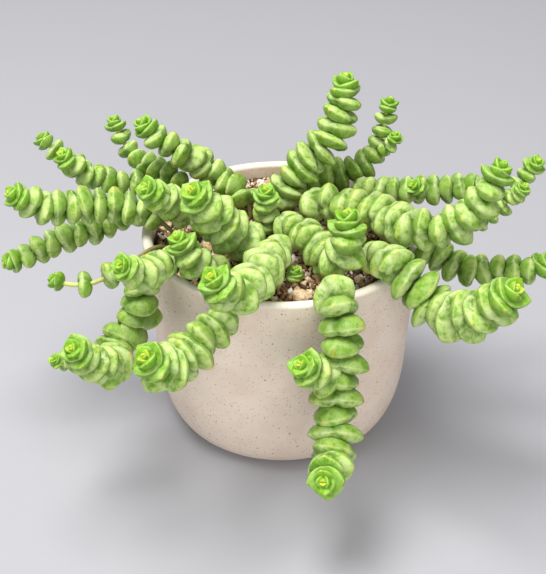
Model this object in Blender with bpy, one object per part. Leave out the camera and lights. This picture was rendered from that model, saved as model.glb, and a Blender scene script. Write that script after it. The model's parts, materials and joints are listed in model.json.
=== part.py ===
"""Potted jade necklace: a round clay pot, its gravelly soil, and the leafy stems that grow from it.

The origin is the middle of the pot's base, +Z is up, and the side with most trailing stems faces -Y.
Each stem is one solid: a thin stalk threaded through pairs of thick leaves, every pair turned a
quarter turn from the pair below, closed by a small rosette. Side shoots are fused into their stem.
All sizes below are in millimetres, and the meshes are built in metres.
"""

import math
import random
from typing import NamedTuple

import bmesh
import bpy
from mathutils import Vector
from mathutils.geometry import delaunay_2d_cdt

MM = 0.001
SEED = 41

# Pot
POT_HEIGHT = 92.0
RIM_RADIUS = 60.0
BODY_RADIUS = 55.2
FOOT_RADIUS = 42.2
SHOULDER_HEIGHT = 37.0
WALL = 4.4
FLOOR = 5.0
LIP_ROUND = 1.9
DRAIN_HOLES = 3
DRAIN_RADIUS = 1.9
DRAIN_CIRCLE = 14.0
DRAIN_SIDES = 10
POT_SEGMENTS = 36
SHARP_ANGLE = 40.0
CORNER_STEPS = 5
LIP_STEPS = 3
INNER_STEPS = 2

# Soil
SOIL_LEVEL = 85.6
STONE_RISE = 2.3
STONE_PITCH = 5.4
STONE_JITTER = 1.3
SEAT_GAP = 0.4
SAME_SPOT = 1e-7
HOLE_RADIUS = 2.6
HOLE_DEPTH = 8.0
HOLE_SIDES = 6
HOLE_MARGIN = 1.7
WALL_MARGIN = 3.2
# Each larger stone: x, y, radius, rise
BIG_STONES = ((8.0, -45.0, 4.6, 3.2), (-3.0, 46.0, 3.4, 2.0), (38.0, 26.0, 3.6, 2.0))

# Stems and leaves
RING_ANGLES = (0.0, 52.0, 90.0, 128.0, 180.0, 232.0, 270.0, 308.0)
PAIR_OUTLINE = (1.0, 0.96, 0.64, 0.96, 1.0, 0.96, 0.64, 0.96)
STALK_RADIUS = 1.45
NECK_SHARE = 0.24
WIDEST_NECK = 0.5
UNDERSIDE_SHARE = 0.86
LEAF_THICKNESS = 0.85
PITCH_FILL = 0.95
TIP_FILL = 1.6
NODE_SWELL = 1.1
BARE_STEP = 8.0
EDGE_BELOW = 0.31
EDGE_ABOVE = 0.24
BELOW_SHARE = 0.5
ABOVE_SHARE = 0.5
LONGEST_SHARED_GAP = 2.0
PAIR_CUP = 0.10
SIDE_LIFT = 0.45
# The rosette's three pairs, lowest first, as shares of the half leaf length below them
CROWN_BACK = (0.70, 0.38, 0.14)
CROWN_SHARE = (1.0, 0.78, 0.44)
CROWN_CUP = (0.26, 0.40, 0.50)
# The innermost pairs, whose leaves have a thin edge
THIN_PAIRS = 2
SIZE_SPREAD = 0.04
ROOT_DEPTH = 6.5
STRAIGHT_ROOT = 2.2
ROUTE_STEP = 0.5


class Finish(NamedTuple):
    """The plain look of one kind of piece."""

    colour: tuple
    roughness: float


class Stem(NamedTuple):
    """One stem, or one side shoot of a stem.

    route is its middle line, from where it leaves the soil to its tip, and leaf its half leaf lengths,
    evenly spaced from the first pair to the rosette. bare is the length of stalk before the first
    pair, pitch the step between pairs, and turn the angle of the first pair about the stalk. A shoot
    names the stem that it grows from, and its route starts inside that stem.
    """

    route: tuple
    leaf: tuple
    bare: float = 5.0
    pitch: float = 6.0
    turn: float = 0.0
    parent: str = ""


CLAY = Finish((0.74, 0.66, 0.57, 1.0), 0.62)
GRAVEL = Finish((0.30, 0.20, 0.14, 1.0), 0.95)
LEAF = Finish((0.30, 0.52, 0.17, 1.0), 0.48)

STEMS = {
    "stem_tall_centre": Stem(
        ((-2, 22, 86), (0, 23, 95), (4, 25, 101), (9, 27, 107), (15, 27, 113), (21, 29, 118),
         (24, 32, 126), (27, 35, 136), (27, 38, 146.5)),
        (8.6, 9.6, 9.6, 9.4, 8.0), bare=7, pitch=6.2),
    "stem_back_right": Stem(
        ((11, 39, 86), (16, 36, 95), (26, 36, 98), (33, 38, 100), (39, 40, 103), (43, 42, 109),
         (45, 44, 116), (46, 46, 122), (48, 48, 130)),
        (7.8, 8.6, 7.0, 5.8, 5.2), bare=5, pitch=5.6),
    "shoot_back_right": Stem(
        ((41, 41, 105), (45, 38, 109), (49, 36, 114), (50, 36, 119)),
        (4.4, 4.0), bare=2.5, pitch=4.0, parent="stem_back_right"),
    "stem_back_row": Stem(
        ((28, 28, 86), (31, 27, 94), (36, 24, 97), (46, 18, 99.5), (57, 15, 101.5), (66, 14, 102),
         (76, 14, 104), (87, 15, 104)),
        (6.2, 7.6, 7.8, 6.4), bare=14, pitch=5.8, turn=40),
    "shoot_back_row": Stem(
        ((60, 15, 101), (58, 11, 105), (55, 8, 109)),
        (5.6, 4.8), bare=3, pitch=4.0, parent="stem_back_row"),
    "stem_right_long": Stem(
        ((9, 17, 86), (14, 12, 96), (21, 8, 99), (29, 3, 100), (38, -4, 102), (46, -14, 104.5),
         (51, -25, 107.5), (57, -32, 109.5), (63, -34, 111), (69, -35, 113.5), (74, -36, 118.5),
         (78, -37, 125), (82.5, -37, 134), (87, -36, 144)),
        (9.0, 10.0, 10.0, 9.6, 9.2, 7.2), bare=14, pitch=7.0),
    "stem_far_right": Stem(
        ((42, 6, 86), (50, 3, 95), (59, 3, 96), (70, 3, 93), (80, 3, 91), (86, 4, 93), (94, 6, 99),
         (99, 8, 104), (105.5, 13, 111.5), (109.5, 12, 119)),
        (5.2, 5.8, 5.4), bare=44, pitch=5.6, turn=20),
    "shoot_far_right": Stem(
        ((97, 7, 102), (100, 4, 106), (103, 2, 112)),
        (4.6, 4.4), bare=3, pitch=4.2, parent="stem_far_right"),
    "stem_right_thin": Stem(
        ((41, -10, 86), (49, -14, 93), (57, -18, 95), (63, -22, 93.5), (68, -25, 91), (74, -28, 89),
         (80, -28, 88), (88, -29, 90), (99, -32, 90.5), (105, -33, 92), (110.5, -32, 97.5)),
        (9.0, 8.2, 7.6, 6.8), bare=27, pitch=6.6, turn=30),
    "stem_right_big": Stem(
        ((32, -25, 86), (38, -31, 96.5), (42.5, -40, 100.5), (48, -51, 101), (54, -55, 97), (59, -58, 92),
         (64, -63, 91), (70.5, -71, 94), (78, -76, 101), (89, -82, 116)),
        (8.0, 9.6, 11.4, 12.0, 9.8), bare=13, pitch=6.6, turn=15),
    "stem_front_upright": Stem(
        ((1, 3, 86), (3, -6, 96), (9, -15, 98), (14, -24, 98), (18, -32, 98), (22.5, -38, 100),
         (25.5, -41, 107), (26, -40.5, 115), (25, -39, 124)),
        (7.6, 8.8, 9.4, 9.6, 8.6), bare=13, pitch=6.4),
    "stem_front_trailing": Stem(
        ((17, -43, 86), (18, -50, 94), (19, -57, 97), (20, -63, 98), (22, -68, 95.5), (23, -71, 89.5),
         (23.5, -73.5, 82), (23, -76, 75), (21.5, -79, 67.5), (20.5, -82, 61), (20.5, -85.5, 55.5),
         (20.5, -90, 50), (19.5, -98, 46), (17.5, -107, 45), (15, -116, 48)),
        (9.4, 10.2, 10.8, 10.8, 9.4), bare=24, pitch=7.2),
    "shoot_front_trailing": Stem(
        ((21.5, -79, 68), (16.5, -82, 73), (11, -86, 79.5), (5.5, -90, 86)),
        (8.4, 8.0), bare=7, pitch=5.4, parent="stem_front_trailing"),
    "stem_front_left": Stem(
        ((-2.5, -14, 86), (-3, -26, 96), (-6, -39, 99.5), (-10, -54, 103), (-14, -67, 105), (-18, -76, 108),
         (-23, -82, 114), (-27.5, -86, 124)),
        (7.8, 9.8, 10.2, 8.8), bare=14, pitch=8.0, turn=10),
    "stem_centre_left_big": Stem(
        ((-13, -14, 86), (-15, -18, 95), (-20, -24, 103), (-26, -28, 111), (-31, -31, 120), (-37, -36, 132)),
        (10.2, 11.0, 10.2, 8.2), bare=11, pitch=6.6),
    "stem_small_upright": Stem(
        ((-7, 4, 86), (-7, 4, 93), (-7, 2, 111)),
        (6.4, 6.0), bare=5, pitch=5.4, turn=20),
    "stem_left_mid": Stem(
        ((-21, -27, 86), (-24, -34, 94), (-29, -41, 97), (-34, -43, 100), (-37.5, -45, 106.5), (-42.5, -46, 117)),
        (7.4, 8.2, 6.8), bare=17, pitch=5.8),
    "stem_left_near": Stem(
        ((-36, 2, 86), (-40, 0, 96), (-45, -6, 106), (-50, -11, 113), (-53, -15, 118), (-57, -19, 123)),
        (7.3, 8.4, 6.8), bare=17, pitch=5.8, turn=25),
    "stem_left_back_tall": Stem(
        ((-14, 20, 86), (-16, 24, 94), (-21, 27, 96), (-28, 30, 99), (-35, 31, 105), (-42, 28, 112),
         (-48, 28, 116), (-55, 29, 120), (-62, 31, 128)),
        (7.4, 8.2, 7.6, 6.4), bare=9, pitch=6.0),
    "stem_left_back_far": Stem(
        ((-24, 15, 86), (-32, 21, 93.5), (-40, 25, 96), (-47, 30, 99), (-54, 35, 100.2), (-60, 40, 100.5),
         (-66, 44, 102.5), (-70, 47, 107), (-73, 49, 112.5), (-75.5, 51, 119)),
        (6.3, 6.8, 6.0, 5.2), bare=30, pitch=5.8, turn=30),
    "stem_left_double": Stem(
        ((-34, 13, 86), (-44, 21, 93.5), (-53, 26, 94.8), (-61, 29, 97), (-70, 28, 98), (-79, 28, 100),
         (-84, 26, 103), (-88, 23, 107), (-92, 21, 112), (-95.5, 20, 118)),
        (6.5, 7.0, 6.0), bare=39, pitch=5.8),
    "shoot_left_double": Stem(
        ((-85, 26, 104), (-92, 31, 107), (-100, 35, 111), (-107, 38, 116.5)),
        (5.6, 5.2), bare=7, pitch=5.4, parent="stem_left_double"),
    "stem_left_long": Stem(
        ((-43, -6, 86), (-49, -4, 95), (-56, -3, 100), (-64, -2, 102.5), (-72, -2, 104), (-79, -2, 104),
         (-85, -3, 104), (-91, -5, 104.5), (-97, -6, 105), (-103, -8, 108), (-114, -11, 116)),
        (7.0, 8.8, 9.2, 8.8, 7.0), bare=18, pitch=6.2, turn=35),
    "stem_left_low": Stem(
        ((-36, 8, 86), (-46, 12, 94.5), (-57, 14, 96), (-65, 14, 92), (-73, 13, 88), (-79, 10, 86),
         (-84, 8, 85), (-90, 7, 84), (-96, 5, 82), (-104, 3, 79.5), (-114, 0, 75.5), (-121, -2, 75.5)),
        (7.8, 7.8, 7.4, 6.2), bare=36, pitch=6.0, turn=10),
    "stem_left_sparse": Stem(
        ((-47, -13, 86), (-51, -19, 94), (-56, -25, 95.5), (-63, -31, 92.5), (-71, -36, 90.5), (-78, -39, 89),
         (-87, -39, 88.5), (-95.5, -37, 90.5)),
        (6.6, 6.4, 4.9), bare=39, pitch=9.2),
    "stem_left_front": Stem(
        ((-34, -29, 86), (-41, -34, 94), (-46, -39, 99), (-50, -43, 101), (-53, -52, 102), (-58, -58, 106),
         (-64, -65, 115)),
        (7.2, 8.2, 6.6), bare=22, pitch=6.0, turn=20),
    "stem_left_trailing": Stem(
        ((-42, -22, 86), (-47, -26, 94), (-52, -31, 95.5), (-57, -36, 92), (-58, -41, 85), (-58, -42, 78),
         (-60, -42, 71), (-66, -44, 66), (-69, -50, 63), (-69, -59, 63), (-69.5, -67, 66.5), (-73, -73, 73),
         (-77, -79, 80.5), (-82, -85, 90)),
        (8.4, 9.8, 9.6, 9.2, 7.6), bare=33, pitch=6.3, turn=30),
    "shoot_left_trailing": Stem(
        ((-73, -74, 74), (-80, -75, 74), (-86, -77, 76), (-90, -80, 81)),
        (3.4, 3.4), bare=8, pitch=4.4, parent="stem_left_trailing"),
    "stem_front_low": Stem(
        ((-16, -39, 86), (-18, -48, 94), (-20, -56, 95.5), (-21, -62, 93.5), (-23, -68, 91), (-27, -73, 89.5),
         (-32, -78, 88), (-37, -84.5, 85.5), (-42.5, -91, 85.5), (-47.5, -97.5, 90.5), (-52.5, -103, 99)),
        (8.8, 10.4, 10.8, 10.8, 9.2), bare=36, pitch=6.6, turn=25),
    "sprout": Stem(
        ((5.2, -32.6, 86), (5.2, -32.6, 93)),
        (4.2, 4.0), bare=2.2, pitch=3.5),
}


def smooth_route(points):
    """Closely spaced points on a centripetal Catmull-Rom curve through the route."""
    knots = [Vector(point) for point in points]
    knots = [2 * knots[0] - knots[1], *knots, 2 * knots[-1] - knots[-2]]
    curve = []
    for p0, p1, p2, p3 in zip(knots, knots[1:], knots[2:], knots[3:]):
        t1 = math.sqrt((p1 - p0).length)
        t2 = t1 + math.sqrt((p2 - p1).length)
        t3 = t2 + math.sqrt((p3 - p2).length)
        steps = max(2, round((p2 - p1).length / ROUTE_STEP))
        for step in range(steps):
            t = t1 + (t2 - t1) * step / steps
            a1 = p0.lerp(p1, t / t1)
            a2 = p1.lerp(p2, (t - t1) / (t2 - t1))
            a3 = p2.lerp(p3, (t - t2) / (t3 - t2))
            b1 = a1.lerp(a2, t / t2)
            b2 = a2.lerp(a3, (t - t1) / (t3 - t1))
            curve.append(b1.lerp(b2, (t - t1) / (t2 - t1)))
    curve.append(knots[-2])
    return curve


class Path:
    """A smooth route with a frame carried along it without twist."""

    def __init__(self, points):
        self.points = smooth_route(points)
        self.lengths = [0.0]
        for a, b in zip(self.points, self.points[1:]):
            self.lengths.append(self.lengths[-1] + (b - a).length)
        self.total = self.lengths[-1]
        last = len(self.points) - 1
        self.tangents = []
        for i in range(last + 1):
            ahead = self.points[min(i + 1, last)]
            behind = self.points[max(i - 1, 0)]
            self.tangents.append((ahead - behind).normalized())
        side = self.tangents[0].orthogonal().normalized()
        self.sides = [side]
        for a, b in zip(self.tangents, self.tangents[1:]):
            side = a.rotation_difference(b) @ side
            side = (side - b * side.dot(b)).normalized()
            self.sides.append(side)

    def at(self, length):
        """The place, direction and two cross axes at this length along the route."""
        length = min(max(length, 0.0), self.total)
        i = 0
        while i < len(self.lengths) - 2 and self.lengths[i + 1] < length:
            i += 1
        share = (length - self.lengths[i]) / (self.lengths[i + 1] - self.lengths[i])
        place = self.points[i].lerp(self.points[i + 1], share)
        along = self.tangents[i].lerp(self.tangents[i + 1], share).normalized()
        side = self.sides[i].lerp(self.sides[i + 1], share)
        side = (side - along * side.dot(along)).normalized()
        return place, along, side, along.cross(side)


def planted_route(stem):
    """The stem's route with its straight root in the soil's hole. A side shoot has no root."""
    if stem.parent:
        return stem.route
    x, y, _ = stem.route[0]
    root = (x, y, SOIL_LEVEL - ROOT_DEPTH)
    collar = (x, y, SOIL_LEVEL + STRAIGHT_ROOT)
    return (root, collar, *stem.route[1:])


def leaf_size(stem, share):
    """The half leaf length at a share of the way from the first pair to the rosette."""
    spot = share * (len(stem.leaf) - 1)
    low = min(int(spot), len(stem.leaf) - 2)
    return stem.leaf[low] + (stem.leaf[low + 1] - stem.leaf[low]) * (spot - low)


def pair_places(stem, total, rng):
    """Where each leaf pair sits, root to tip, as (length along the stem, half leaf length, cup)."""
    full = stem.leaf[-1]
    crown = [(total - back * full, share * full, cup)
             for back, share, cup in zip(CROWN_BACK, CROWN_SHARE, CROWN_CUP)]
    first = stem.bare + (0.0 if stem.parent else ROOT_DEPTH)
    span = crown[0][0] - first
    count = max(0, round(span / stem.pitch))
    pairs = []
    for i in range(count):
        share = i / count
        size = leaf_size(stem, share) * (1 + rng.uniform(-SIZE_SPREAD, SIZE_SPREAD))
        pairs.append((first + span * share, size, PAIR_CUP))
    return pairs + crown


def stalk_ring(path, length, radius, turn):
    """A round ring of the stalk."""
    place, _, side, across = path.at(length)
    points = []
    for k in range(len(RING_ANGLES)):
        angle = 2 * math.pi * k / len(RING_ANGLES) + math.radians(turn)
        points.append(place + (side * math.cos(angle) + across * math.sin(angle)) * radius)
    return points


def pair_ring(path, length, size, cup, turn, quarter):
    """A ring round a leaf pair. A quarter turn is two places along the outline."""
    place, along, side, across = path.at(length)
    points = []
    for k in range(len(RING_ANGLES)):
        index = (k + 2 * quarter) % len(RING_ANGLES)
        leaf_angle = math.radians(RING_ANGLES[index])
        angle = leaf_angle + math.radians(turn - 90 * quarter)
        out = side * math.cos(angle) + across * math.sin(angle)
        lead = along * (SIDE_LIFT + (1 - SIDE_LIFT) * abs(math.cos(leaf_angle))) * cup
        points.append(place + (out * PAIR_OUTLINE[index] + lead) * size)
    return points


def stem_rings(stem, path, rng):
    """The rings that the stem's skin runs through, root to tip."""
    pairs = pair_places(stem, path.total, rng)
    rings = [stalk_ring(path, 0.0, STALK_RADIUS, stem.turn)]
    top = 0.0
    while pairs[0][0] - top > 1.5 * BARE_STEP:
        top += BARE_STEP
        rings.append(stalk_ring(path, top, STALK_RADIUS, stem.turn))
    for i, (length, size, cup) in enumerate(pairs):
        ahead = (pairs[i + 1][0] if i + 1 < len(pairs) else path.total) - length
        behind = length - pairs[i - 1][0] if i else length
        thickness = min(LEAF_THICKNESS * size, PITCH_FILL * behind, TIP_FILL * ahead)
        neck = min(max(STALK_RADIUS, NECK_SHARE * size), WIDEST_NECK * size)
        low = length - BELOW_SHARE * thickness
        if low - top > LONGEST_SHARED_GAP:
            if i:
                rings.append(stalk_ring(path, top, STALK_RADIUS, stem.turn))
            rings.append(stalk_ring(path, low, min(neck, STALK_RADIUS * NODE_SWELL), stem.turn))
        else:
            rings.append(stalk_ring(path, 0.5 * (low + top), neck, stem.turn))
        quarter = i % 2
        if i < len(pairs) - THIN_PAIRS:
            rings.append(pair_ring(path, length - EDGE_BELOW * thickness, size * UNDERSIDE_SHARE, cup,
                                   stem.turn, quarter))
        rings.append(pair_ring(path, length + EDGE_ABOVE * thickness, size, cup, stem.turn, quarter))
        top = length + ABOVE_SHARE * thickness
    return rings


def new_object(name, mesh, finish):
    """Links a mesh into the scene under its node's name, with a material of its own."""
    material = bpy.data.materials.new(name)
    material.use_nodes = True
    shader = material.node_tree.nodes["Principled BSDF"]
    shader.inputs["Base Color"].default_value = finish.colour
    shader.inputs["Roughness"].default_value = finish.roughness
    material.diffuse_color = finish.colour
    mesh.materials.append(material)
    made = bpy.data.objects.new(name, mesh)
    bpy.context.scene.collection.objects.link(made)
    return made


def finished_mesh(bm, name):
    """Turns the faces outwards, cuts them into triangles and gives the mesh."""
    bmesh.ops.recalc_face_normals(bm, faces=bm.faces[:])
    bmesh.ops.triangulate(bm, faces=bm.faces[:])
    mesh = bpy.data.meshes.new(name)
    bm.to_mesh(mesh)
    bm.free()
    return mesh


def bridge(bm, low, high):
    """Faces between two rings with the same number of points."""
    for k in range(len(low)):
        after = (k + 1) % len(low)
        bm.faces.new((low[k], low[after], high[after], high[k]))


def fan(bm, ring, pole):
    """Faces from a ring to one point."""
    for k in range(len(ring)):
        bm.faces.new((ring[k], ring[(k + 1) % len(ring)], pole))


def skin(name, rings, tip):
    """A closed mesh through the rings, capped flat at the root and drawn to a point at the tip."""
    bm = bmesh.new()
    loops = [[bm.verts.new(point * MM) for point in ring] for ring in rings]
    bm.faces.new(loops[0])
    for low, high in zip(loops, loops[1:]):
        bridge(bm, low, high)
    fan(bm, loops[-1], bm.verts.new(tip * MM))
    return finished_mesh(bm, name)


def combine(body, other, operation):
    """Joins another solid into this one, or cuts it out of this one, and removes the other."""
    boolean = body.modifiers.new("combine", "BOOLEAN")
    boolean.operation = operation
    boolean.solver = "EXACT"
    boolean.object = other
    graph = bpy.context.evaluated_depsgraph_get()
    combined = bpy.data.meshes.new_from_object(body.evaluated_get(graph))
    body.modifiers.clear()
    body.data = combined
    bpy.data.objects.remove(other)


def build_stems():
    """Every stem, each with its side shoots fused into it."""
    made = {}
    for order, (name, stem) in enumerate(STEMS.items()):
        path = Path(planted_route(stem))
        rings = stem_rings(stem, path, random.Random(SEED + order))
        made[name] = new_object(name, skin(name, rings, path.points[-1]), LEAF)
    for name, stem in STEMS.items():
        if stem.parent:
            combine(made[stem.parent], made.pop(name), "UNION")


def arc(centre, radii, start, end, steps):
    """Points on an ellipse's arc, as (radius, height) pairs."""
    points = []
    for i in range(steps + 1):
        angle = math.radians(start + (end - start) * i / steps)
        points.append((centre[0] + radii[0] * math.cos(angle), centre[1] + radii[1] * math.sin(angle)))
    return points


def side_radius(height):
    """The pot's outer radius at a height above its shoulder."""
    share = (height - SHOULDER_HEIGHT) / (POT_HEIGHT - SHOULDER_HEIGHT)
    return BODY_RADIUS + (RIM_RADIUS - BODY_RADIUS) * share


def bowl_profile(top, clearance):
    """The pot's inside from a height down to the floor's corner, set in by a clearance."""
    points = [(side_radius(top) - WALL - clearance, top)]
    radii = (BODY_RADIUS - FOOT_RADIUS - WALL, SHOULDER_HEIGHT - FLOOR)
    for radius, height in arc((FOOT_RADIUS, SHOULDER_HEIGHT), radii, 0, -90, INNER_STEPS):
        points.append((radius - clearance, max(height, FLOOR + clearance)))
    return points


def pot_profile():
    """The pot's wall as an outline of (radius, height), from the foot out, up, over the lip and back."""
    corner = arc((FOOT_RADIUS, SHOULDER_HEIGHT), (BODY_RADIUS - FOOT_RADIUS, SHOULDER_HEIGHT),
                 -90, 0, CORNER_STEPS)
    lip_height = POT_HEIGHT - LIP_ROUND
    lip = arc((side_radius(lip_height) - WALL / 2, lip_height), (WALL / 2, LIP_ROUND), 0, 180, LIP_STEPS + 1)
    inside = bowl_profile(lip_height, 0.0)[1:]
    return [*corner, *lip, *inside]


def circle(radius, height, segments, centre=(0.0, 0.0)):
    """Evenly spaced points on a level circle."""
    angles = [2 * math.pi * k / segments for k in range(segments)]
    return [(centre[0] + radius * math.cos(a), centre[1] + radius * math.sin(a), height) for a in angles]


def ring_verts(bm, points):
    return [bm.verts.new(Vector(point) * MM) for point in points]


def turned_mesh(name, profile, segments, centre=(0.0, 0.0)):
    """A closed mesh turned from an outline of (radius, height), with flat ends."""
    bm = bmesh.new()
    rings = [ring_verts(bm, circle(radius, height, segments, centre)) for radius, height in profile]
    for low, high in zip(rings, rings[1:]):
        bridge(bm, low, high)
    bm.faces.new(rings[0])
    bm.faces.new(rings[-1])
    return finished_mesh(bm, name)


def build_pot():
    """The clay pot: one turned wall and floor, a rounded lip, and small drain holes round the middle."""
    pot = new_object("pot", turned_mesh("pot", pot_profile(), POT_SEGMENTS), CLAY)
    through = [(DRAIN_RADIUS, -FLOOR), (DRAIN_RADIUS, 2 * FLOOR)]
    for x, y, _ in circle(DRAIN_CIRCLE, 0.0, DRAIN_HOLES):
        drain = turned_mesh("drain", through, DRAIN_SIDES, (x, y))
        combine(pot, new_object("drain", drain, CLAY), "DIFFERENCE")
    pot.data.shade_smooth()
    pot.data.set_sharp_from_angle(angle=math.radians(SHARP_ANGLE))


def stone_height(x, y, rng):
    """The soil's height at a point: loose gravel, with the few larger stones standing proud."""
    height = SOIL_LEVEL + rng.uniform(0.0, STONE_RISE)
    for stone_x, stone_y, radius, rise in BIG_STONES:
        if math.hypot(x - stone_x, y - stone_y) < radius:
            height = SOIL_LEVEL + rise
    return height


def root_places():
    """Where the stems enter the soil."""
    return [stem.route[0][:2] for stem in STEMS.values() if not stem.parent]


def gravel_points(edge_radius):
    """A jittered triangular grid of heights inside the pot, clear of its wall and of the stems' holes."""
    rng = random.Random(SEED)
    row_step = STONE_PITCH * math.sin(math.radians(60))
    rows = math.ceil(edge_radius / row_step)
    points = []
    for row in range(-rows, rows + 1):
        for column in range(-rows, rows + 1):
            x = (column + 0.5 * (row % 2)) * STONE_PITCH + rng.uniform(-STONE_JITTER, STONE_JITTER)
            y = row * row_step + rng.uniform(-STONE_JITTER, STONE_JITTER)
            height = stone_height(x, y, rng)
            near_wall = math.hypot(x, y) > edge_radius - WALL_MARGIN
            near_hole = any(math.dist((x, y), root) < HOLE_RADIUS + HOLE_MARGIN for root in root_places())
            if not near_wall and not near_hole:
                points.append((x, y, height))
    return points


def gravel_faces(spots, holes):
    """Triangles over all the spots, apart from those inside a hole's rim."""
    edges = [(a, b) for hole in holes for a, b in zip(hole, hole[1:] + hole[:1])]
    flat = [Vector(spot[:2]) for spot in spots]
    _, _, faces, origins, _, _ = delaunay_2d_cdt(flat, edges, [], 0, SAME_SPOT)
    inside = [set(hole) for hole in holes]
    found = []
    for face in faces:
        corners = [origins[corner][0] for corner in face]
        if not any(rim.issuperset(corners) for rim in inside):
            found.append(corners)
    return found


def build_soil():
    """The filling: gravel on top, a plain hole for each stem, and sides that follow the pot's inside."""
    profile = bowl_profile(SOIL_LEVEL, SEAT_GAP)
    spots = circle(profile[0][0], SOIL_LEVEL, POT_SEGMENTS)
    holes = []
    for root in root_places():
        holes.append(list(range(len(spots), len(spots) + HOLE_SIDES)))
        spots += circle(HOLE_RADIUS, SOIL_LEVEL, HOLE_SIDES, root)
    spots += gravel_points(profile[0][0])
    bm = bmesh.new()
    verts = ring_verts(bm, spots)
    for corners in gravel_faces(spots, holes):
        bm.faces.new([verts[corner] for corner in corners])
    for root, hole in zip(root_places(), holes):
        rim = [verts[corner] for corner in hole]
        bottom = ring_verts(bm, circle(HOLE_RADIUS, SOIL_LEVEL - HOLE_DEPTH, HOLE_SIDES, root))
        bridge(bm, rim, bottom)
        bm.faces.new(bottom)
    above = verts[:POT_SEGMENTS]
    for radius, height in profile[1:]:
        below = ring_verts(bm, circle(radius, height, POT_SEGMENTS))
        bridge(bm, above, below)
        above = below
    bm.faces.new(above)
    new_object("soil", finished_mesh(bm, "soil"), GRAVEL)


def clear_scene():
    """Removes whatever the scene starts with."""
    for thing in list(bpy.data.objects):
        bpy.data.objects.remove(thing)


clear_scene()
build_pot()
build_soil()
build_stems()
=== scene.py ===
"""The looks of a potted jade necklace: a clay pot, gravelly soil and strings of thick paired leaves.

Sizes are in millimetres until a mesh is made, but in metres for the finishes and the studio. The frame
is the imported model's own: its origin is the middle of the pot's base, +Z is up, and -Y is the side that
the photograph shows.
"""

import json
import logging
import math
import random
from dataclasses import dataclass
from enum import Enum
from typing import Iterable, Sequence, Union

import bmesh
import bpy
import numpy as np
from mathutils import Euler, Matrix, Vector, noise

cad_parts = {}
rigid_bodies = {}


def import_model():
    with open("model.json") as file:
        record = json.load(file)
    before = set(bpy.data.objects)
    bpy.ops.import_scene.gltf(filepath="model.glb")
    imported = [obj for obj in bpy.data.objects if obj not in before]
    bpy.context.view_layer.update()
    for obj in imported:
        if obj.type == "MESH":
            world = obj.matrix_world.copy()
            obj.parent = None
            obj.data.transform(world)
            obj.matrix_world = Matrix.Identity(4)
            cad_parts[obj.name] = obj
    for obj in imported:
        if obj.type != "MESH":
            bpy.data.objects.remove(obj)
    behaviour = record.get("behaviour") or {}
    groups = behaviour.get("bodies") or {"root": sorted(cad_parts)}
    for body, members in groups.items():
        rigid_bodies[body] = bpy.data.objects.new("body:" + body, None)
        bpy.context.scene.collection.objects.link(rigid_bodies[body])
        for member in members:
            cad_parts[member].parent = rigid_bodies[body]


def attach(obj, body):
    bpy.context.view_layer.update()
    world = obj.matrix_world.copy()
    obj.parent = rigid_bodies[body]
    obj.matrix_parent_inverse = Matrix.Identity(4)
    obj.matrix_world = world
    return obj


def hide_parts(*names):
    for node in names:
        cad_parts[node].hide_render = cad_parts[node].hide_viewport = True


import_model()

log = logging.getLogger("jade_necklace")

MM = 0.001
SEED = 41
LOOKS_SEED = 907
BODY = "root"
SOIL_LEVEL = 85.6

Colour = tuple[float, float, float, float]
Stops = tuple[tuple[float, Colour], ...]
Row = dict[str, object]
Point = tuple[float, float, float]
Number = Union[float, "Value"]


def srgb(*channels: int) -> Colour:
    """A colour as seen on a screen, turned into the linear values that the shaders take.

    Args:
        channels: red, green and blue, from 0 to 255.

    Returns:
        The linear colour with full alpha.
    """
    shares = [channel / 255 for channel in channels]
    linear = [share / 12.92 if share <= 0.04045 else ((share + 0.055) / 1.055) ** 2.4 for share in shares]
    return (*linear, 1.0)


def fade(distance: float, reach: float) -> float:
    """A bell curve, 1 at no distance and near 0 past twice the reach."""
    return math.exp(-((distance / reach) ** 2))


def hump(spot: float, shoulder: float, end: float) -> float:
    """A hump of height 1 over spots from -1 to 1, squarer with more shoulder, rounder with less end."""
    return (1 - abs(spot) ** shoulder) ** end


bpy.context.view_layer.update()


class Slot(Enum):
    """The record's material slots."""

    CLAY = "clay"
    GRAVEL = "gravel"
    LEAF = "leaf"


class Kind(Enum):
    """What an attribute holds."""

    NUMBER = "FLOAT"
    WHOLE = "INT"
    VECTOR = "FLOAT_VECTOR"


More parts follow.
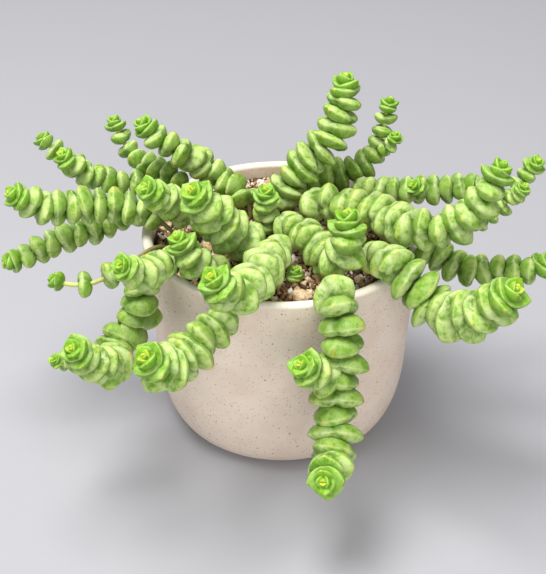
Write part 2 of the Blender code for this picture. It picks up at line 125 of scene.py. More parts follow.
class Value:
    """A number socket that takes part in plain arithmetic."""

    def __init__(self, writer: "TreeWriter", socket: bpy.types.NodeSocket) -> None:
        """Keeps the socket and the writer that adds nodes for it."""
        self.writer = writer
        self.socket = socket

    def math(self, operation: str, *others: Number, flip: bool = False) -> "Value":
        """Adds one Math node.

        Args:
            operation: the Math node's operation.
            others: the other operands.
            flip: puts this socket after the first operand.

        Returns:
            The node's result.
        """
        operands = [self, *others]
        if flip:
            operands[0], operands[1] = operands[1], operands[0]
        made = self.writer.node("ShaderNodeMath", {"operation": operation}, dict(enumerate(operands)))
        return Value(self.writer, made.outputs[0])

    def __add__(self, other: Number) -> "Value":
        """This plus the other."""
        return self.math("ADD", other)

    def __radd__(self, other: Number) -> "Value":
        """The other plus this."""
        return self.math("ADD", other)

    def __sub__(self, other: Number) -> "Value":
        """This minus the other."""
        return self.math("SUBTRACT", other)

    def __rsub__(self, other: Number) -> "Value":
        """The other minus this."""
        return self.math("SUBTRACT", other, flip=True)

    def __mul__(self, other: Number) -> "Value":
        """This times the other."""
        return self.math("MULTIPLY", other)

    def __rmul__(self, other: Number) -> "Value":
        """The other times this."""
        return self.math("MULTIPLY", other)

    def step(self, low: Number, high: Number) -> "Value":
        """A smooth rise from 0 to 1 between two values, or a fall where low is above high.

        Args:
            low: the value at which it is 0.
            high: the value at which it is 1.

        Returns:
            The result, from 0 to 1.
        """
        settings = {"interpolation_type": "SMOOTHSTEP", "clamp": True}
        inputs = {"Value": self, "From Min": low, "From Max": high}
        made = self.writer.node("ShaderNodeMapRange", settings, inputs)
        return Value(self.writer, made.outputs[0])


Input = Union[float, int, str, bool, Sequence[float], bpy.types.ID, bpy.types.NodeSocket, Value]


class TreeWriter:
    """Writes the nodes of one shader or geometry tree."""

    def __init__(self, tree: bpy.types.NodeTree) -> None:
        """Keeps the tree, emptied of the nodes that it starts with."""
        self.tree = tree
        tree.nodes.clear()

    def node(self, kind: str, settings: dict[str, object] | None = None,
             inputs: dict[str | int, Input] | None = None) -> bpy.types.Node:
        """Makes a node.

        Args:
            kind: the node's type.
            settings: the node's own properties and a ramp's stops, set before its sockets.
            inputs: a value or a link for each socket, by identifier, name or number.

        Returns:
            The new node.
        """
        made = self.tree.nodes.new(kind)
        for name, setting in (settings or {}).items():
            if name == "stops":
                self.place_stops(made.color_ramp.elements, setting)
            else:
                setattr(made, name, setting)
        for key, given in (inputs or {}).items():
            self.feed(self.find(made.inputs, key), given)
        return made

    def place_stops(self, elements: bpy.types.ColorRampElements, stops: Stops) -> None:
        """Sets a new colour ramp's stops.

        Args:
            elements: the ramp's elements, of which it has two from the start.
            stops: each stop's place and colour, lowest first.
        """
        for index, (position, colour) in enumerate(stops):
            element = elements[index] if index < 2 else elements.new(position)
            element.position = position
            element.color = colour

    def find(self, sockets: bpy.types.bpy_prop_collection, key: str | int) -> bpy.types.NodeSocket:
        """Finds a socket.

        Args:
            sockets: a node's inputs or outputs.
            key: its number or identifier, or the name that it has among the sockets in use.

        Returns:
            The socket.
        """
        if isinstance(key, int):
            return sockets[key]
        for socket in sockets:
            if socket.identifier == key:
                return socket
        return next(socket for socket in sockets if socket.name == key and socket.enabled)

    def feed(self, socket: bpy.types.NodeSocket, given: Input) -> None:
        """Links a socket to another node's output, or sets its value.

        Args:
            socket: the input socket.
            given: the output, the value that wraps it, or a plain value.
        """
        if isinstance(given, Value):
            self.tree.links.new(given.socket, socket)
        elif isinstance(given, bpy.types.NodeSocket):
            self.tree.links.new(given, socket)
        else:
            socket.default_value = given


class Painter(TreeWriter):
    """Writes one material's shader."""

    def __init__(self, name: str, preview: Colour) -> None:
        """Starts a material.

        Args:
            name: the material's name.
            preview: its plain colour in the viewport.
        """
        self.material = bpy.data.materials.new(name)
        self.material.use_nodes = True
        self.material.diffuse_color = preview
        super().__init__(self.material.node_tree)
        self.place = self.node("ShaderNodeTexCoord").outputs["Object"]

    def attribute(self, name: str) -> Value:
        """A float attribute of the mesh."""
        return Value(self, self.node("ShaderNodeAttribute", {"attribute_name": name}).outputs["Fac"])

    def noise(self, size: float, detail: float = 3.0, rough: float = 0.5, warp: float = 0.0,
              place: bpy.types.NodeSocket | None = None) -> Value:
        """Smooth noise.

        Args:
            size: the size of its blotches, in the units of place.
            detail: how many finer layers lie on it.
            rough: how strong the finer layers are.
            warp: how far it is twisted out of shape.
            place: where it is read, by default the object's own coordinates in metres.

        Returns:
            A value round 0.5.
        """
        inputs = {"Vector": place or self.place, "Scale": 1 / size, "Detail": detail, "Roughness": rough,
                  "Distortion": warp}
        return Value(self, self.node("ShaderNodeTexNoise", None, inputs).outputs["Fac"])

    def cells(self, size: float) -> tuple[Value, Value]:
        """Scattered cells in the object's own coordinates.

        Args:
            size: the step between their middles, in metres.

        Returns:
            The distance from the nearest middle in steps, and a number of its own for each cell.
        """
        made = self.node("ShaderNodeTexVoronoi", None, {"Vector": self.place, "Scale": 1 / size})
        split = self.node("ShaderNodeSeparateColor", None, {"Color": made.outputs["Color"]})
        return Value(self, made.outputs["Distance"]), Value(self, split.outputs["Red"])

    def ramp(self, value: Value, stops: Stops) -> bpy.types.NodeSocket:
        """The colour of a ramp where a value stands on it."""
        return self.node("ShaderNodeValToRGB", {"stops": stops}, {"Fac": value}).outputs["Color"]

    def mix(self, factor: Number, first: Input, second: Input) -> bpy.types.NodeSocket:
        """Blends two colours.

        Args:
            factor: how much of the second colour shows.
            first: the colour below.
            second: the colour above.

        Returns:
            The blended colour.
        """
        settings = {"data_type": "RGBA", "clamp_factor": True}
        inputs = {"Factor_Float": factor, "A_Color": first, "B_Color": second}
        return self.find(self.node("ShaderNodeMix", settings, inputs).outputs, "Result_Color")

    def bump(self, height: Value, depth: float, strength: float = 1.0) -> bpy.types.NodeSocket:
        """A bumped normal.

        Args:
            height: the height from 0 to 1.
            depth: how deep a height of 1 is, in metres.
            strength: how strongly it shows.

        Returns:
            The normal.
        """
        inputs = {"Height": height, "Distance": depth, "Strength": strength}
        return self.node("ShaderNodeBump", None, inputs).outputs["Normal"]

    def finish(self, sockets: dict[str | int, Input]) -> bpy.types.Material:
        """Closes the material with a Principled shader.

        Args:
            sockets: a value or a link for each of the shader's sockets.

        Returns:
            The material.
        """
        shader = self.node("ShaderNodeBsdfPrincipled", None, sockets)
        self.node("ShaderNodeOutputMaterial", None, {"Surface": shader.outputs[0]})
        return self.material


# What a leaf pair's points are marked with: how near the rim and the tip they are, how far out and
# sideways, and whether they are on the upper face
LEAF_MARKS = ("edge", "tip", "out", "side", "top")


@dataclass(frozen=True)
class LeafFinish:
    """Fleshy green leaf, grey-green and mottled when old, lime in the rosettes, with a pale rim."""

    ages: Stops = (
        (0.0, srgb(150, 186, 76)), (0.30, srgb(136, 184, 50)), (0.55, srgb(118, 176, 28)),
        (0.80, srgb(132, 190, 24)), (1.0, srgb(214, 230, 58)))
    # Pale waxy bloom, which also serves as painted highlight on the upper faces
    bloom_and_highlight: Colour = srgb(222, 234, 172)
    streak: Colour = srgb(210, 216, 100)
    # Dark green of the real mottles, and of the painted shade near the stalk
    shade: Colour = srgb(78, 120, 24)
    # Greener underside colour, darkened further as painted shade
    underside_and_shade: Colour = srgb(98, 144, 24)
    edge: Colour = srgb(228, 238, 162)
    blush: Colour = srgb(196, 122, 62)
    tip: Colour = srgb(214, 190, 74)
    pit: Colour = srgb(48, 84, 30)
    blotch_size: float = 0.0042
    pit_step: float = 0.0011
    grain_size: float = 0.0005
    # How closely the streaks lie along and across a leaf, and how far the next leaf's are from them
    streak_scale: tuple[float, float, float] = (1.7, 5.5, 61.0)
    zone_size: float = 0.007
    bump_depth: float = 0.0001
    roughness: float = 0.38
    gloss: float = 0.38
    flesh: float = 0.18
    flesh_reach: tuple[float, float, float] = (0.0016, 0.0024, 0.0006)

    def material(self) -> bpy.types.Material:
        """The leaf's material, which reads the attributes of the leaf pairs."""
        paint = Painter("leaf", self.ages[1][1])
        youth, tint = paint.attribute("youth"), paint.attribute("tint")
        edge, tip, out, side, top = (paint.attribute(mark) for mark in LEAF_MARKS)
        old = 1 - youth.step(0.25, 0.75)
        blotches = paint.noise(self.blotch_size, detail=4, rough=0.6, warp=0.4)
        fine = paint.noise(self.blotch_size / 4, detail=3, rough=0.6)
        along, across, apart = self.streak_scale
        spot = paint.node("ShaderNodeCombineXYZ", None, {
            0: out * along, 1: side * across, 2: tint * apart})
        streaks = paint.noise(1.0, detail=4, rough=0.62, warp=0.5, place=spot.outputs[0])
        aged = paint.ramp(youth + (tint - 0.5) * 0.12 + (blotches - 0.5) * 0.16, self.ages)
        # The underside greener and darker: partly the leaf's own colour, partly painted shade
        underside_and_shade = paint.mix((1 - top) * 0.60, aged, self.underside_and_shade)
        # Painted shade: darker towards the stalk, where the pairs crowd each other
        base = paint.mix(out.step(0.70, 0.10) * (0.45 + old * 0.25), underside_and_shade, self.shade)
        mottled = fine.step(0.48, 0.70) * 0.42 + blotches.step(0.50, 0.68) * 0.40
        shaded = paint.mix(mottled, base, self.shade)
        # Waxy bloom, more on old leaves, and painted highlight: lighter on the upper faces
        bloom_and_highlight_mask = (0.35 + top * 0.65) * blotches.step(0.64, 0.36) * (0.08 + old * 0.46)
        with_bloom_and_highlight = paint.mix(bloom_and_highlight_mask, shaded, self.bloom_and_highlight)
        lines = streaks.step(0.50, 0.72) * out.step(0.20, 0.6)
        streaked = paint.mix(lines * (0.16 + old * 0.16), with_bloom_and_highlight, self.streak)
        outer = streaks.step(0.52, 0.66) * out.step(0.60, 1.0) * tint.step(0.55, 0.95)
        blushed = paint.mix(outer * old * 0.30, streaked, self.blush)
        distance, own = paint.cells(self.pit_step)
        zone = paint.noise(self.zone_size, detail=1).step(0.44, 0.60) * old
        pits = distance.step(0.22, 0.10) * own.step(0.55, 0.8) * zone
        pitted = paint.mix(pits * 0.5, blushed, self.pit)
        margin = edge.step(0.60, 1.0) * 0.18 + edge.step(0.84, 0.97) * fine.step(0.38, 0.62) * 0.42
        lined = paint.mix(margin * (1 - old * 0.30), pitted, self.edge)
        tipped = paint.mix(tip.step(0.3, 0.9) * (0.2 + tint * 0.5), lined, self.tip)
        grain = paint.noise(self.grain_size, detail=2)
        height = grain * 0.5 + blotches * 0.9 - pits * 1.6
        return paint.finish({
            "Base Color": tipped,
            "Roughness": self.roughness + grain * 0.14 + old * 0.06,
            "Normal": paint.bump(height, self.bump_depth, 0.6),
            "Subsurface Weight": self.flesh,
            "Subsurface Radius": self.flesh_reach,
            "Subsurface Scale": 1.0,
            "Specular IOR Level": self.gloss,
        })


@dataclass(frozen=True)
class StalkFinish:
    """Pale yellow-green stalk, browner and corky near the soil."""

    young: Colour = srgb(196, 206, 112)
    old: Colour = srgb(140, 136, 78)
    cork: Colour = srgb(118, 92, 58)
    patch_size: float = 0.0012
    bump_depth: float = 0.00008
    roughness: float = 0.5
    flesh: float = 0.1
    flesh_reach: tuple[float, float, float] = (0.001, 0.001, 0.0004)

    def material(self) -> bpy.types.Material:
        """The stalk's material, which reads the youth attribute."""
        paint = Painter("stalk", self.young)
        youth = paint.attribute("youth")
        patches = paint.noise(self.patch_size, detail=4, rough=0.6)
        base = paint.mix(youth.step(0.0, 0.35), self.old, self.young)
        corked = paint.mix(patches.step(0.45, 0.65) * (1 - youth.step(0.0, 0.3)) * 0.7, base, self.cork)
        return paint.finish({
            "Base Color": corked,
            "Roughness": self.roughness + patches * 0.2,
            "Normal": paint.bump(patches, self.bump_depth, 0.6),
            "Subsurface Weight": self.flesh,
            "Subsurface Radius": self.flesh_reach,
            "Subsurface Scale": 1.0,
        })


@dataclass(frozen=True)
class ClayFinish:
    """Matt cream stoneware with fine dark speckles, paler and smoother on the lip."""

    body: Colour = srgb(234, 218, 202)
    warm: Colour = srgb(220, 197, 178)
    lip: Colour = srgb(236, 228, 214)
    speck: Colour = srgb(116, 76, 50)
    speck_step: float = 0.0012
    fleck_step: float = 0.0034
    cloud_size: float = 0.016
    grain_size: float = 0.0007
    bump_depth: float = 0.00012
    roughness: float = 0.68
    gloss: float = 0.35
    # How far the paler lip fades out below and above its start
    lip_fade: tuple[float, float] = (0.0006, 0.0012)

    def material(self, lip_height: float) -> bpy.types.Material:
        """The clay's material.

        Args:
            lip_height: where the lip starts, in metres.

        Returns:
            The material.
        """
        paint = Painter("clay", self.body)
        split = paint.node("ShaderNodeSeparateXYZ", None, {"Vector": paint.place})
        height = Value(paint, split.outputs["Z"])
        lip = height.step(lip_height - self.lip_fade[0], lip_height + self.lip_fade[1])
        clouds = paint.noise(self.cloud_size, detail=5, rough=0.6)
        grain = paint.noise(self.grain_size, detail=4, rough=0.7)
        base = paint.mix(clouds.step(0.38, 0.68) * 0.55, self.body, self.warm)
        grained = paint.mix(grain.step(0.50, 0.75) * 0.25, base, self.warm)
        topped = paint.mix(lip * 0.8, grained, self.lip)
        specks, own = paint.cells(self.speck_step)
        fine = specks.step(own * 0.24 + 0.10, own * 0.10) * own.step(0.20, 0.45)
        flecks, apart = paint.cells(self.fleck_step)
        large = flecks.step(apart * 0.13 + 0.03, apart * 0.07) * apart.step(0.35, 0.5)
        dots = (fine * 0.70).math("MAXIMUM", large * 0.85) * (1 - lip * 0.75)
        dotted = paint.mix(dots, topped, self.speck)
        return paint.finish({
            "Base Color": dotted,
            "Roughness": self.roughness - lip * 0.14 + grain * 0.10,
            "Normal": paint.bump(grain * 0.7 + clouds * 0.6 - dots * 0.5, self.bump_depth, 0.5),
            "Specular IOR Level": self.gloss,
        })


@dataclass(frozen=True)
class EarthFinish:
    """Dark crumbly soil under the stones."""

    dark: Colour = srgb(24, 14, 9)
    light: Colour = srgb(74, 48, 32)
    crumb_size: float = 0.0011
    bump_depth: float = 0.0005
    roughness: float = 0.9

    def material(self) -> bpy.types.Material:
        """The soil's material."""
        paint = Painter("earth", self.dark)
        crumbs = paint.noise(self.crumb_size, detail=5, rough=0.7)
        colour = paint.mix(crumbs.step(0.45, 0.72), self.dark, self.light)
        return paint.finish({
            "Base Color": colour,
            "Roughness": self.roughness + crumbs * 0.08,
            "Normal": paint.bump(crumbs, self.bump_depth),
        })


@dataclass(frozen=True)
class StoneFinish:
    """Dry grit, each stone with a colour of its own from dark brown to off-white."""

    name: str
    shades: Stops = (
        (0.0, srgb(84, 54, 34)), (0.18, srgb(136, 98, 62)), (0.36, srgb(190, 154, 110)),
        (0.60, srgb(216, 186, 144)), (0.82, srgb(232, 212, 182)), (0.96, srgb(248, 242, 232)))
    dust: Colour = srgb(92, 58, 38)
    pore: float = 0.0009
    bump_depth: float = 0.00025
    roughness: float = 0.8

    def material(self) -> bpy.types.Material:
        """The grit's material, which reads the shade attribute."""
        paint = Painter(self.name, self.shades[2][1])
        grain = paint.noise(self.pore, detail=4, rough=0.65)
        patches = paint.noise(self.pore * 3, detail=2)
        base = paint.ramp(paint.attribute("shade") + (patches - 0.5) * 0.25, self.shades)
        dusty = paint.mix(grain.step(0.46, 0.70) * 0.55, base, self.dust)
        return paint.finish({
            "Base Color": dusty,
            "Roughness": self.roughness + grain * 0.15,
            "Normal": paint.bump(grain, self.bump_depth),
        })


@dataclass(frozen=True)
class FloorFinish:
    """Plain pale grey studio floor."""

    colour: Colour = srgb(172, 172, 178)
    roughness: float = 0.85
    gloss: float = 0.2

    def material(self) -> bpy.types.Material:
        """The floor's material."""
        return Painter("floor", self.colour).finish({
            "Base Color": self.colour, "Roughness": self.roughness, "Specular IOR Level": self.gloss})


def link(thing: bpy.types.Object) -> bpy.types.Object:
    """Puts an object into the scene and gives it back."""
    bpy.context.scene.collection.objects.link(thing)
    return thing


def mesh_of(name: str, verts: Iterable[Sequence[float]], faces: Sequence[Sequence[int]],
            smooth: bool = True) -> bpy.types.Mesh:
    """A mesh from plain lists.

    Args:
        name: the mesh's name.
        verts: the places of its vertices.
        faces: the vertices of each face, anticlockwise from outside.
        smooth: shades it smooth.

    Returns:
        The mesh.
    """
    mesh = bpy.data.meshes.new(name)
    mesh.from_pydata([tuple(map(float, vert)) for vert in verts], [], faces)
    if smooth:
        mesh.shade_smooth()
    return mesh


def ring_faces(rings: int, count: int, first: int = 0) -> list[tuple[int, ...]]:
    """The faces between rings of vertices that follow each other.

    Args:
        rings: the number of rings.
        count: the number of vertices in each ring.
        first: the number of the first ring's first vertex.

    Returns:
        The faces, four-sided.
    """
    faces = []
    for low in range(first, first + (rings - 1) * count, count):
        high = low + count
        for k in range(count):
            after = (k + 1) % count
            faces.append((low + k, low + after, high + after, high + k))
    return faces


def full_turn(count: int) -> list[float]:
    """Evenly spaced angles round a circle, in radians."""
    return [2 * math.pi * k / count for k in range(count)]


def store(mesh: bpy.types.Mesh, name: str, kind: Kind, values: Sequence) -> None:
    """Gives every vertex of a mesh an attribute.

    Args:
        mesh: the mesh.
        name: the attribute's name.
        kind: what it holds.
        values: one value for each vertex.
    """
    data = mesh.attributes.new(name, kind.value, "POINT").data
    data.foreach_set("vector" if kind is Kind.VECTOR else "value", np.asarray(values).ravel())


def outward(mesh: bpy.types.Mesh) -> None:
    """Turns the faces of a closed mesh outwards.

    Args:
        mesh: the mesh.
    """
    bm = bmesh.new()
    bm.from_mesh(mesh)
    bmesh.ops.recalc_face_normals(bm, faces=bm.faces[:])
    bm.to_mesh(mesh)
    bm.free()


def settled(helper: bpy.types.Object) -> bpy.types.Object:
    """Turns an object with a live modifier into a plain mesh.

    Args:
        helper: the object with its modifier.

    Returns:
        The same object, with the modifier's result as its mesh.
    """
    graph = bpy.context.evaluated_depsgraph_get()
    made = bpy.data.meshes.new_from_object(helper.evaluated_get(graph))
    helper.modifiers.clear()
    helper.data = made
    return helper


def hand_over(piece: bpy.types.Object, nodes: Iterable[str]) -> None:
    """Puts a finished piece on its body, in place of the plain nodes that it stands for.

    Args:
        piece: the finished piece.
        nodes: the names of the plain nodes.
    """
    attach(piece, BODY)
    for node in nodes:
        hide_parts(node)
    log.info("%s: %d faces", piece.name, len(piece.data.polygons))


@dataclass(frozen=True)
class Stem:
    """One stem, or one side shoot of a stem.

    route is its middle line, from where it leaves the soil to its tip, and leaf its half leaf lengths,
    evenly spaced from the first pair to the rosette. bare is the length of stalk before the first
    pair, pitch about the step between pairs, and turn the angle of the first pair round the stalk, in
    degrees. A shoot names the stem that it grows from, and its route starts inside that stem.
    """

    route: tuple[Point, ...]
    leaf: tuple[float, ...]
    bare: float = 5.0
    pitch: float = 6.0
    turn: float = 0.0
    parent: str = ""


STEMS = {
    "stem_tall_centre": Stem(
        ((-2, 22, 86), (0, 23, 95), (4, 25, 101), (9, 27, 107), (15, 27, 113), (21, 29, 118),
         (24, 32, 126), (27, 35, 136), (27, 38, 146.5)),
        (8.6, 9.6, 9.6, 9.4, 8.0), bare=7, pitch=6.2),
    "stem_back_right": Stem(
        ((11, 39, 86), (16, 36, 95), (26, 36, 98), (33, 38, 100), (39, 40, 103), (43, 42, 109),
         (45, 44, 116), (46, 46, 122), (48, 48, 130)),
        (7.8, 8.6, 7.0, 5.8, 5.2), bare=5, pitch=5.6),
    "shoot_back_right": Stem(
        ((41, 41, 105), (45, 38, 109), (49, 36, 114), (50, 36, 119)),
        (4.4, 4.0), bare=2.5, pitch=4.0, parent="stem_back_right"),
    "stem_back_row": Stem(
        ((28, 28, 86), (31, 27, 94), (36, 24, 97), (46, 18, 99.5), (57, 15, 101.5), (66, 14, 102),
         (76, 14, 104), (87, 15, 104)),
        (6.2, 7.6, 7.8, 6.4), bare=14, pitch=5.8, turn=40),
    "shoot_back_row": Stem(
        ((60, 15, 101), (58, 11, 105), (55, 8, 109)),
        (5.6, 4.8), bare=3, pitch=4.0, parent="stem_back_row"),
    "stem_right_long": Stem(
        ((9, 17, 86), (14, 12, 96), (21, 8, 99), (29, 3, 100), (38, -4, 102), (46, -14, 104.5),
         (51, -25, 107.5), (57, -32, 109.5), (63, -34, 111), (69, -35, 113.5), (74, -36, 118.5),
         (78, -37, 125), (82.5, -37, 134), (87, -36, 144)),
        (9.0, 10.0, 10.0, 9.6, 9.2, 7.2), bare=14, pitch=7.0),
    "stem_far_right": Stem(
        ((42, 6, 86), (50, 3, 95), (59, 3, 96), (70, 3, 93), (80, 3, 91), (86, 4, 93), (94, 6, 99),
         (99, 8, 104), (105.5, 13, 111.5), (109.5, 12, 119)),
        (5.2, 5.8, 5.4), bare=44, pitch=5.6, turn=20),
    "shoot_far_right": Stem(
        ((97, 7, 102), (100, 4, 106), (103, 2, 112)),
        (4.6, 4.4), bare=3, pitch=4.2, parent="stem_far_right"),
    "stem_right_thin": Stem(
        ((41, -10, 86), (49, -14, 93), (57, -18, 95), (63, -22, 93.5), (68, -25, 91), (74, -28, 89),
         (80, -28, 88), (88, -29, 90), (99, -32, 90.5), (105, -33, 92), (110.5, -32, 97.5)),
        (9.0, 8.2, 7.6, 6.8), bare=27, pitch=6.6, turn=30),
    "stem_right_big": Stem(
        ((32, -25, 86), (38, -31, 96.5), (42.5, -40, 100.5), (48, -51, 101), (54, -55, 97), (59, -58, 92),
         (64, -63, 91), (70.5, -71, 94), (78, -76, 101), (89, -82, 116)),
        (8.0, 9.6, 11.4, 12.0, 9.8), bare=13, pitch=6.6, turn=15),
    "stem_front_upright": Stem(
        ((1, 3, 86), (3, -6, 96), (9, -15, 98), (14, -24, 98), (18, -32, 98), (22.5, -38, 100),
         (25.5, -41, 107), (26, -40.5, 115), (25, -39, 124)),
        (7.6, 8.8, 9.4, 9.6, 8.6), bare=13, pitch=6.4),
    "stem_front_trailing": Stem(
        ((17, -43, 86), (18, -50, 94), (19, -57, 97), (20, -63, 98), (22, -68, 95.5), (23, -71, 89.5),
         (23.5, -73.5, 82), (23, -76, 75), (21.5, -79, 67.5), (20.5, -82, 61), (20.5, -85.5, 55.5),
         (20.5, -90, 50), (19.5, -98, 46), (17.5, -107, 45), (15, -116, 48)),
        (9.4, 10.2, 10.8, 10.8, 9.4), bare=24, pitch=7.2),
    "shoot_front_trailing": Stem(
        ((21.5, -79, 68), (16.5, -82, 73), (11, -86, 79.5), (5.5, -90, 86)),
        (8.4, 8.0), bare=7, pitch=5.4, parent="stem_front_trailing"),
    "stem_front_left": Stem(
        ((-2.5, -14, 86), (-3, -26, 96), (-6, -39, 99.5), (-10, -54, 103), (-14, -67, 105),
         (-18, -76, 108), (-23, -82, 114), (-27.5, -86, 124)),
        (7.8, 9.8, 10.2, 8.8), bare=14, pitch=8.0, turn=10),
    "stem_centre_left_big": Stem(
        ((-13, -14, 86), (-15, -18, 95), (-20, -24, 103), (-26, -28, 111), (-31, -31, 120),
         (-37, -36, 132)),
        (10.2, 11.0, 10.2, 8.2), bare=11, pitch=6.6),
    "stem_small_upright": Stem(
        ((-7, 4, 86), (-7, 4, 93), (-7, 2, 111)),
        (6.4, 6.0), bare=5, pitch=5.4, turn=20),
    "stem_left_mid": Stem(
        ((-21, -27, 86), (-24, -34, 94), (-29, -41, 97), (-34, -43, 100), (-37.5, -45, 106.5),
         (-42.5, -46, 117)),
        (7.4, 8.2, 6.8), bare=17, pitch=5.8),
    "stem_left_near": Stem(
        ((-36, 2, 86), (-40, 0, 96), (-45, -6, 106), (-50, -11, 113), (-53, -15, 118), (-57, -19, 123)),
        (7.3, 8.4, 6.8), bare=17, pitch=5.8, turn=25),
    "stem_left_back_tall": Stem(
        ((-14, 20, 86), (-16, 24, 94), (-21, 27, 96), (-28, 30, 99), (-35, 31, 105), (-42, 28, 112),
         (-48, 28, 116), (-55, 29, 120), (-62, 31, 128)),
        (7.4, 8.2, 7.6, 6.4), bare=9, pitch=6.0),
    "stem_left_back_far": Stem(
        ((-24, 15, 86), (-32, 21, 93.5), (-40, 25, 96), (-47, 30, 99), (-54, 35, 100.2), (-60, 40, 100.5),
         (-66, 44, 102.5), (-70, 47, 107), (-73, 49, 112.5), (-75.5, 51, 119)),
        (6.3, 6.8, 6.0, 5.2), bare=30, pitch=5.8, turn=30),
    "stem_left_double": Stem(
        ((-34, 13, 86), (-44, 21, 93.5), (-53, 26, 94.8), (-61, 29, 97), (-70, 28, 98), (-79, 28, 100),
         (-84, 26, 103), (-88, 23, 107), (-92, 21, 112), (-95.5, 20, 118)),
        (6.5, 7.0, 6.0), bare=39, pitch=5.8),
    "shoot_left_double": Stem(
        ((-85, 26, 104), (-92, 31, 107), (-100, 35, 111), (-107, 38, 116.5)),
        (5.6, 5.2), bare=7, pitch=5.4, parent="stem_left_double"),
    "stem_left_long": Stem(
        ((-43, -6, 86), (-49, -4, 95), (-56, -3, 100), (-64, -2, 102.5), (-72, -2, 104), (-79, -2, 104),
         (-85, -3, 104), (-91, -5, 104.5), (-97, -6, 105), (-103, -8, 108), (-114, -11, 116)),
        (7.0, 8.8, 9.2, 8.8, 7.0), bare=18, pitch=6.2, turn=35),
    "stem_left_low": Stem(
        ((-36, 8, 86), (-46, 12, 94.5), (-57, 14, 96), (-65, 14, 92), (-73, 13, 88), (-79, 10, 86),
         (-84, 8, 85), (-90, 7, 84), (-96, 5, 82), (-104, 3, 79.5), (-114, 0, 75.5), (-121, -2, 75.5)),
        (7.8, 7.8, 7.4, 6.2), bare=36, pitch=6.0, turn=10),
    "stem_left_sparse": Stem(
        ((-47, -13, 86), (-51, -19, 94), (-56, -25, 95.5), (-63, -31, 92.5), (-71, -36, 90.5),
         (-78, -39, 89), (-87, -39, 88.5), (-95.5, -37, 90.5)),
        (6.6, 6.4, 4.9), bare=39, pitch=9.2),
    "stem_left_front": Stem(
        ((-34, -29, 86), (-41, -34, 94), (-46, -39, 99), (-50, -43, 101), (-53, -52, 102),
         (-58, -58, 106), (-64, -65, 115)),
        (7.2, 8.2, 6.6), bare=22, pitch=6.0, turn=20),
    "stem_left_trailing": Stem(
        ((-42, -22, 86), (-47, -26, 94), (-52, -31, 95.5), (-57, -36, 92), (-58, -41, 85),
         (-58, -42, 78), (-60, -42, 71), (-66, -44, 66), (-69, -50, 63), (-69, -59, 63),
         (-69.5, -67, 66.5), (-73, -73, 73), (-77, -79, 80.5), (-82, -85, 90)),
        (8.4, 9.8, 9.6, 9.2, 7.6), bare=33, pitch=6.3, turn=30),
    "shoot_left_trailing": Stem(
        ((-73, -74, 74), (-80, -75, 74), (-86, -77, 76), (-90, -80, 81)),
        (3.4, 3.4), bare=8, pitch=4.4, parent="stem_left_trailing"),
    "stem_front_low": Stem(
        ((-16, -39, 86), (-18, -48, 94), (-20, -56, 95.5), (-21, -62, 93.5), (-23, -68, 91),
         (-27, -73, 89.5), (-32, -78, 88), (-37, -84.5, 85.5), (-42.5, -91, 85.5),
         (-47.5, -97.5, 90.5), (-52.5, -103, 99)),
        (8.8, 10.4, 10.8, 10.8, 9.2), bare=36, pitch=6.6, turn=25),
    "sprout": Stem(
        ((5.2, -32.6, 86), (5.2, -32.6, 93)),
        (4.2, 4.0), bare=2.2, pitch=3.5),
}


class Path:
    """A smooth route with a frame carried along it without twist."""

    step = 0.5

    def __init__(self, points: Sequence[Sequence[float]]) -> None:
        """Smooths the route and carries a frame along it.

        Args:
            points: the route's own points.
        """
        self.points = self.smooth(points)
        self.lengths = [0.0]
        for a, b in zip(self.points, self.points[1:]):
            self.lengths.append(self.lengths[-1] + (b - a).length)
        self.total = self.lengths[-1]
        last = len(self.points) - 1
        self.tangents = []
        for i in range(last + 1):
            ahead = self.points[min(i + 1, last)]
            behind = self.points[max(i - 1, 0)]
            self.tangents.append((ahead - behind).normalized())
        side = self.tangents[0].orthogonal().normalized()
        self.sides = [side]
        for a, b in zip(self.tangents, self.tangents[1:]):
            side = a.rotation_difference(b) @ side
            side = (side - b * side.dot(b)).normalized()
            self.sides.append(side)

    def smooth(self, points: Sequence[Sequence[float]]) -> list[Vector]:
        """Closely spaced points on a centripetal Catmull-Rom curve.

        Args:
            points: the points that it runs through.

        Returns:
            The curve's points.
        """
        knots = [Vector(point) for point in points]
        knots = [2 * knots[0] - knots[1], *knots, 2 * knots[-1] - knots[-2]]
        curve = []
        for p0, p1, p2, p3 in zip(knots, knots[1:], knots[2:], knots[3:]):
            t1 = math.sqrt((p1 - p0).length)
            t2 = t1 + math.sqrt((p2 - p1).length)
            t3 = t2 + math.sqrt((p3 - p2).length)
            steps = max(2, round((p2 - p1).length / self.step))
            for step in range(steps):
                t = t1 + (t2 - t1) * step / steps
                a1 = p0.lerp(p1, t / t1)
                a2 = p1.lerp(p2, (t - t1) / (t2 - t1))
                a3 = p2.lerp(p3, (t - t2) / (t3 - t2))
                b1 = a1.lerp(a2, t / t2)
                b2 = a2.lerp(a3, (t - t1) / (t3 - t1))
                curve.append(b1.lerp(b2, (t - t1) / (t2 - t1)))
        curve.append(knots[-2])
        return curve

    def at(self, length: float) -> tuple[Vector, Vector, Vector, Vector]:
        """The place, direction and two cross axes at a length along the route.

        Args:
            length: how far along the route.

        Returns:
            The place, the direction, the side axis and the axis across both.
        """
        length = min(max(length, 0.0), self.total)
        i = 0
        while i < len(self.lengths) - 2 and self.lengths[i + 1] < length:
            i += 1
        share = (length - self.lengths[i]) / (self.lengths[i + 1] - self.lengths[i])
        place = self.points[i].lerp(self.points[i + 1], share)
        along = self.tangents[i].lerp(self.tangents[i + 1], share).normalized()
        side = self.sides[i].lerp(self.sides[i + 1], share)
        side = (side - along * side.dot(along)).normalized()
        return place, along, side, along.cross(side)


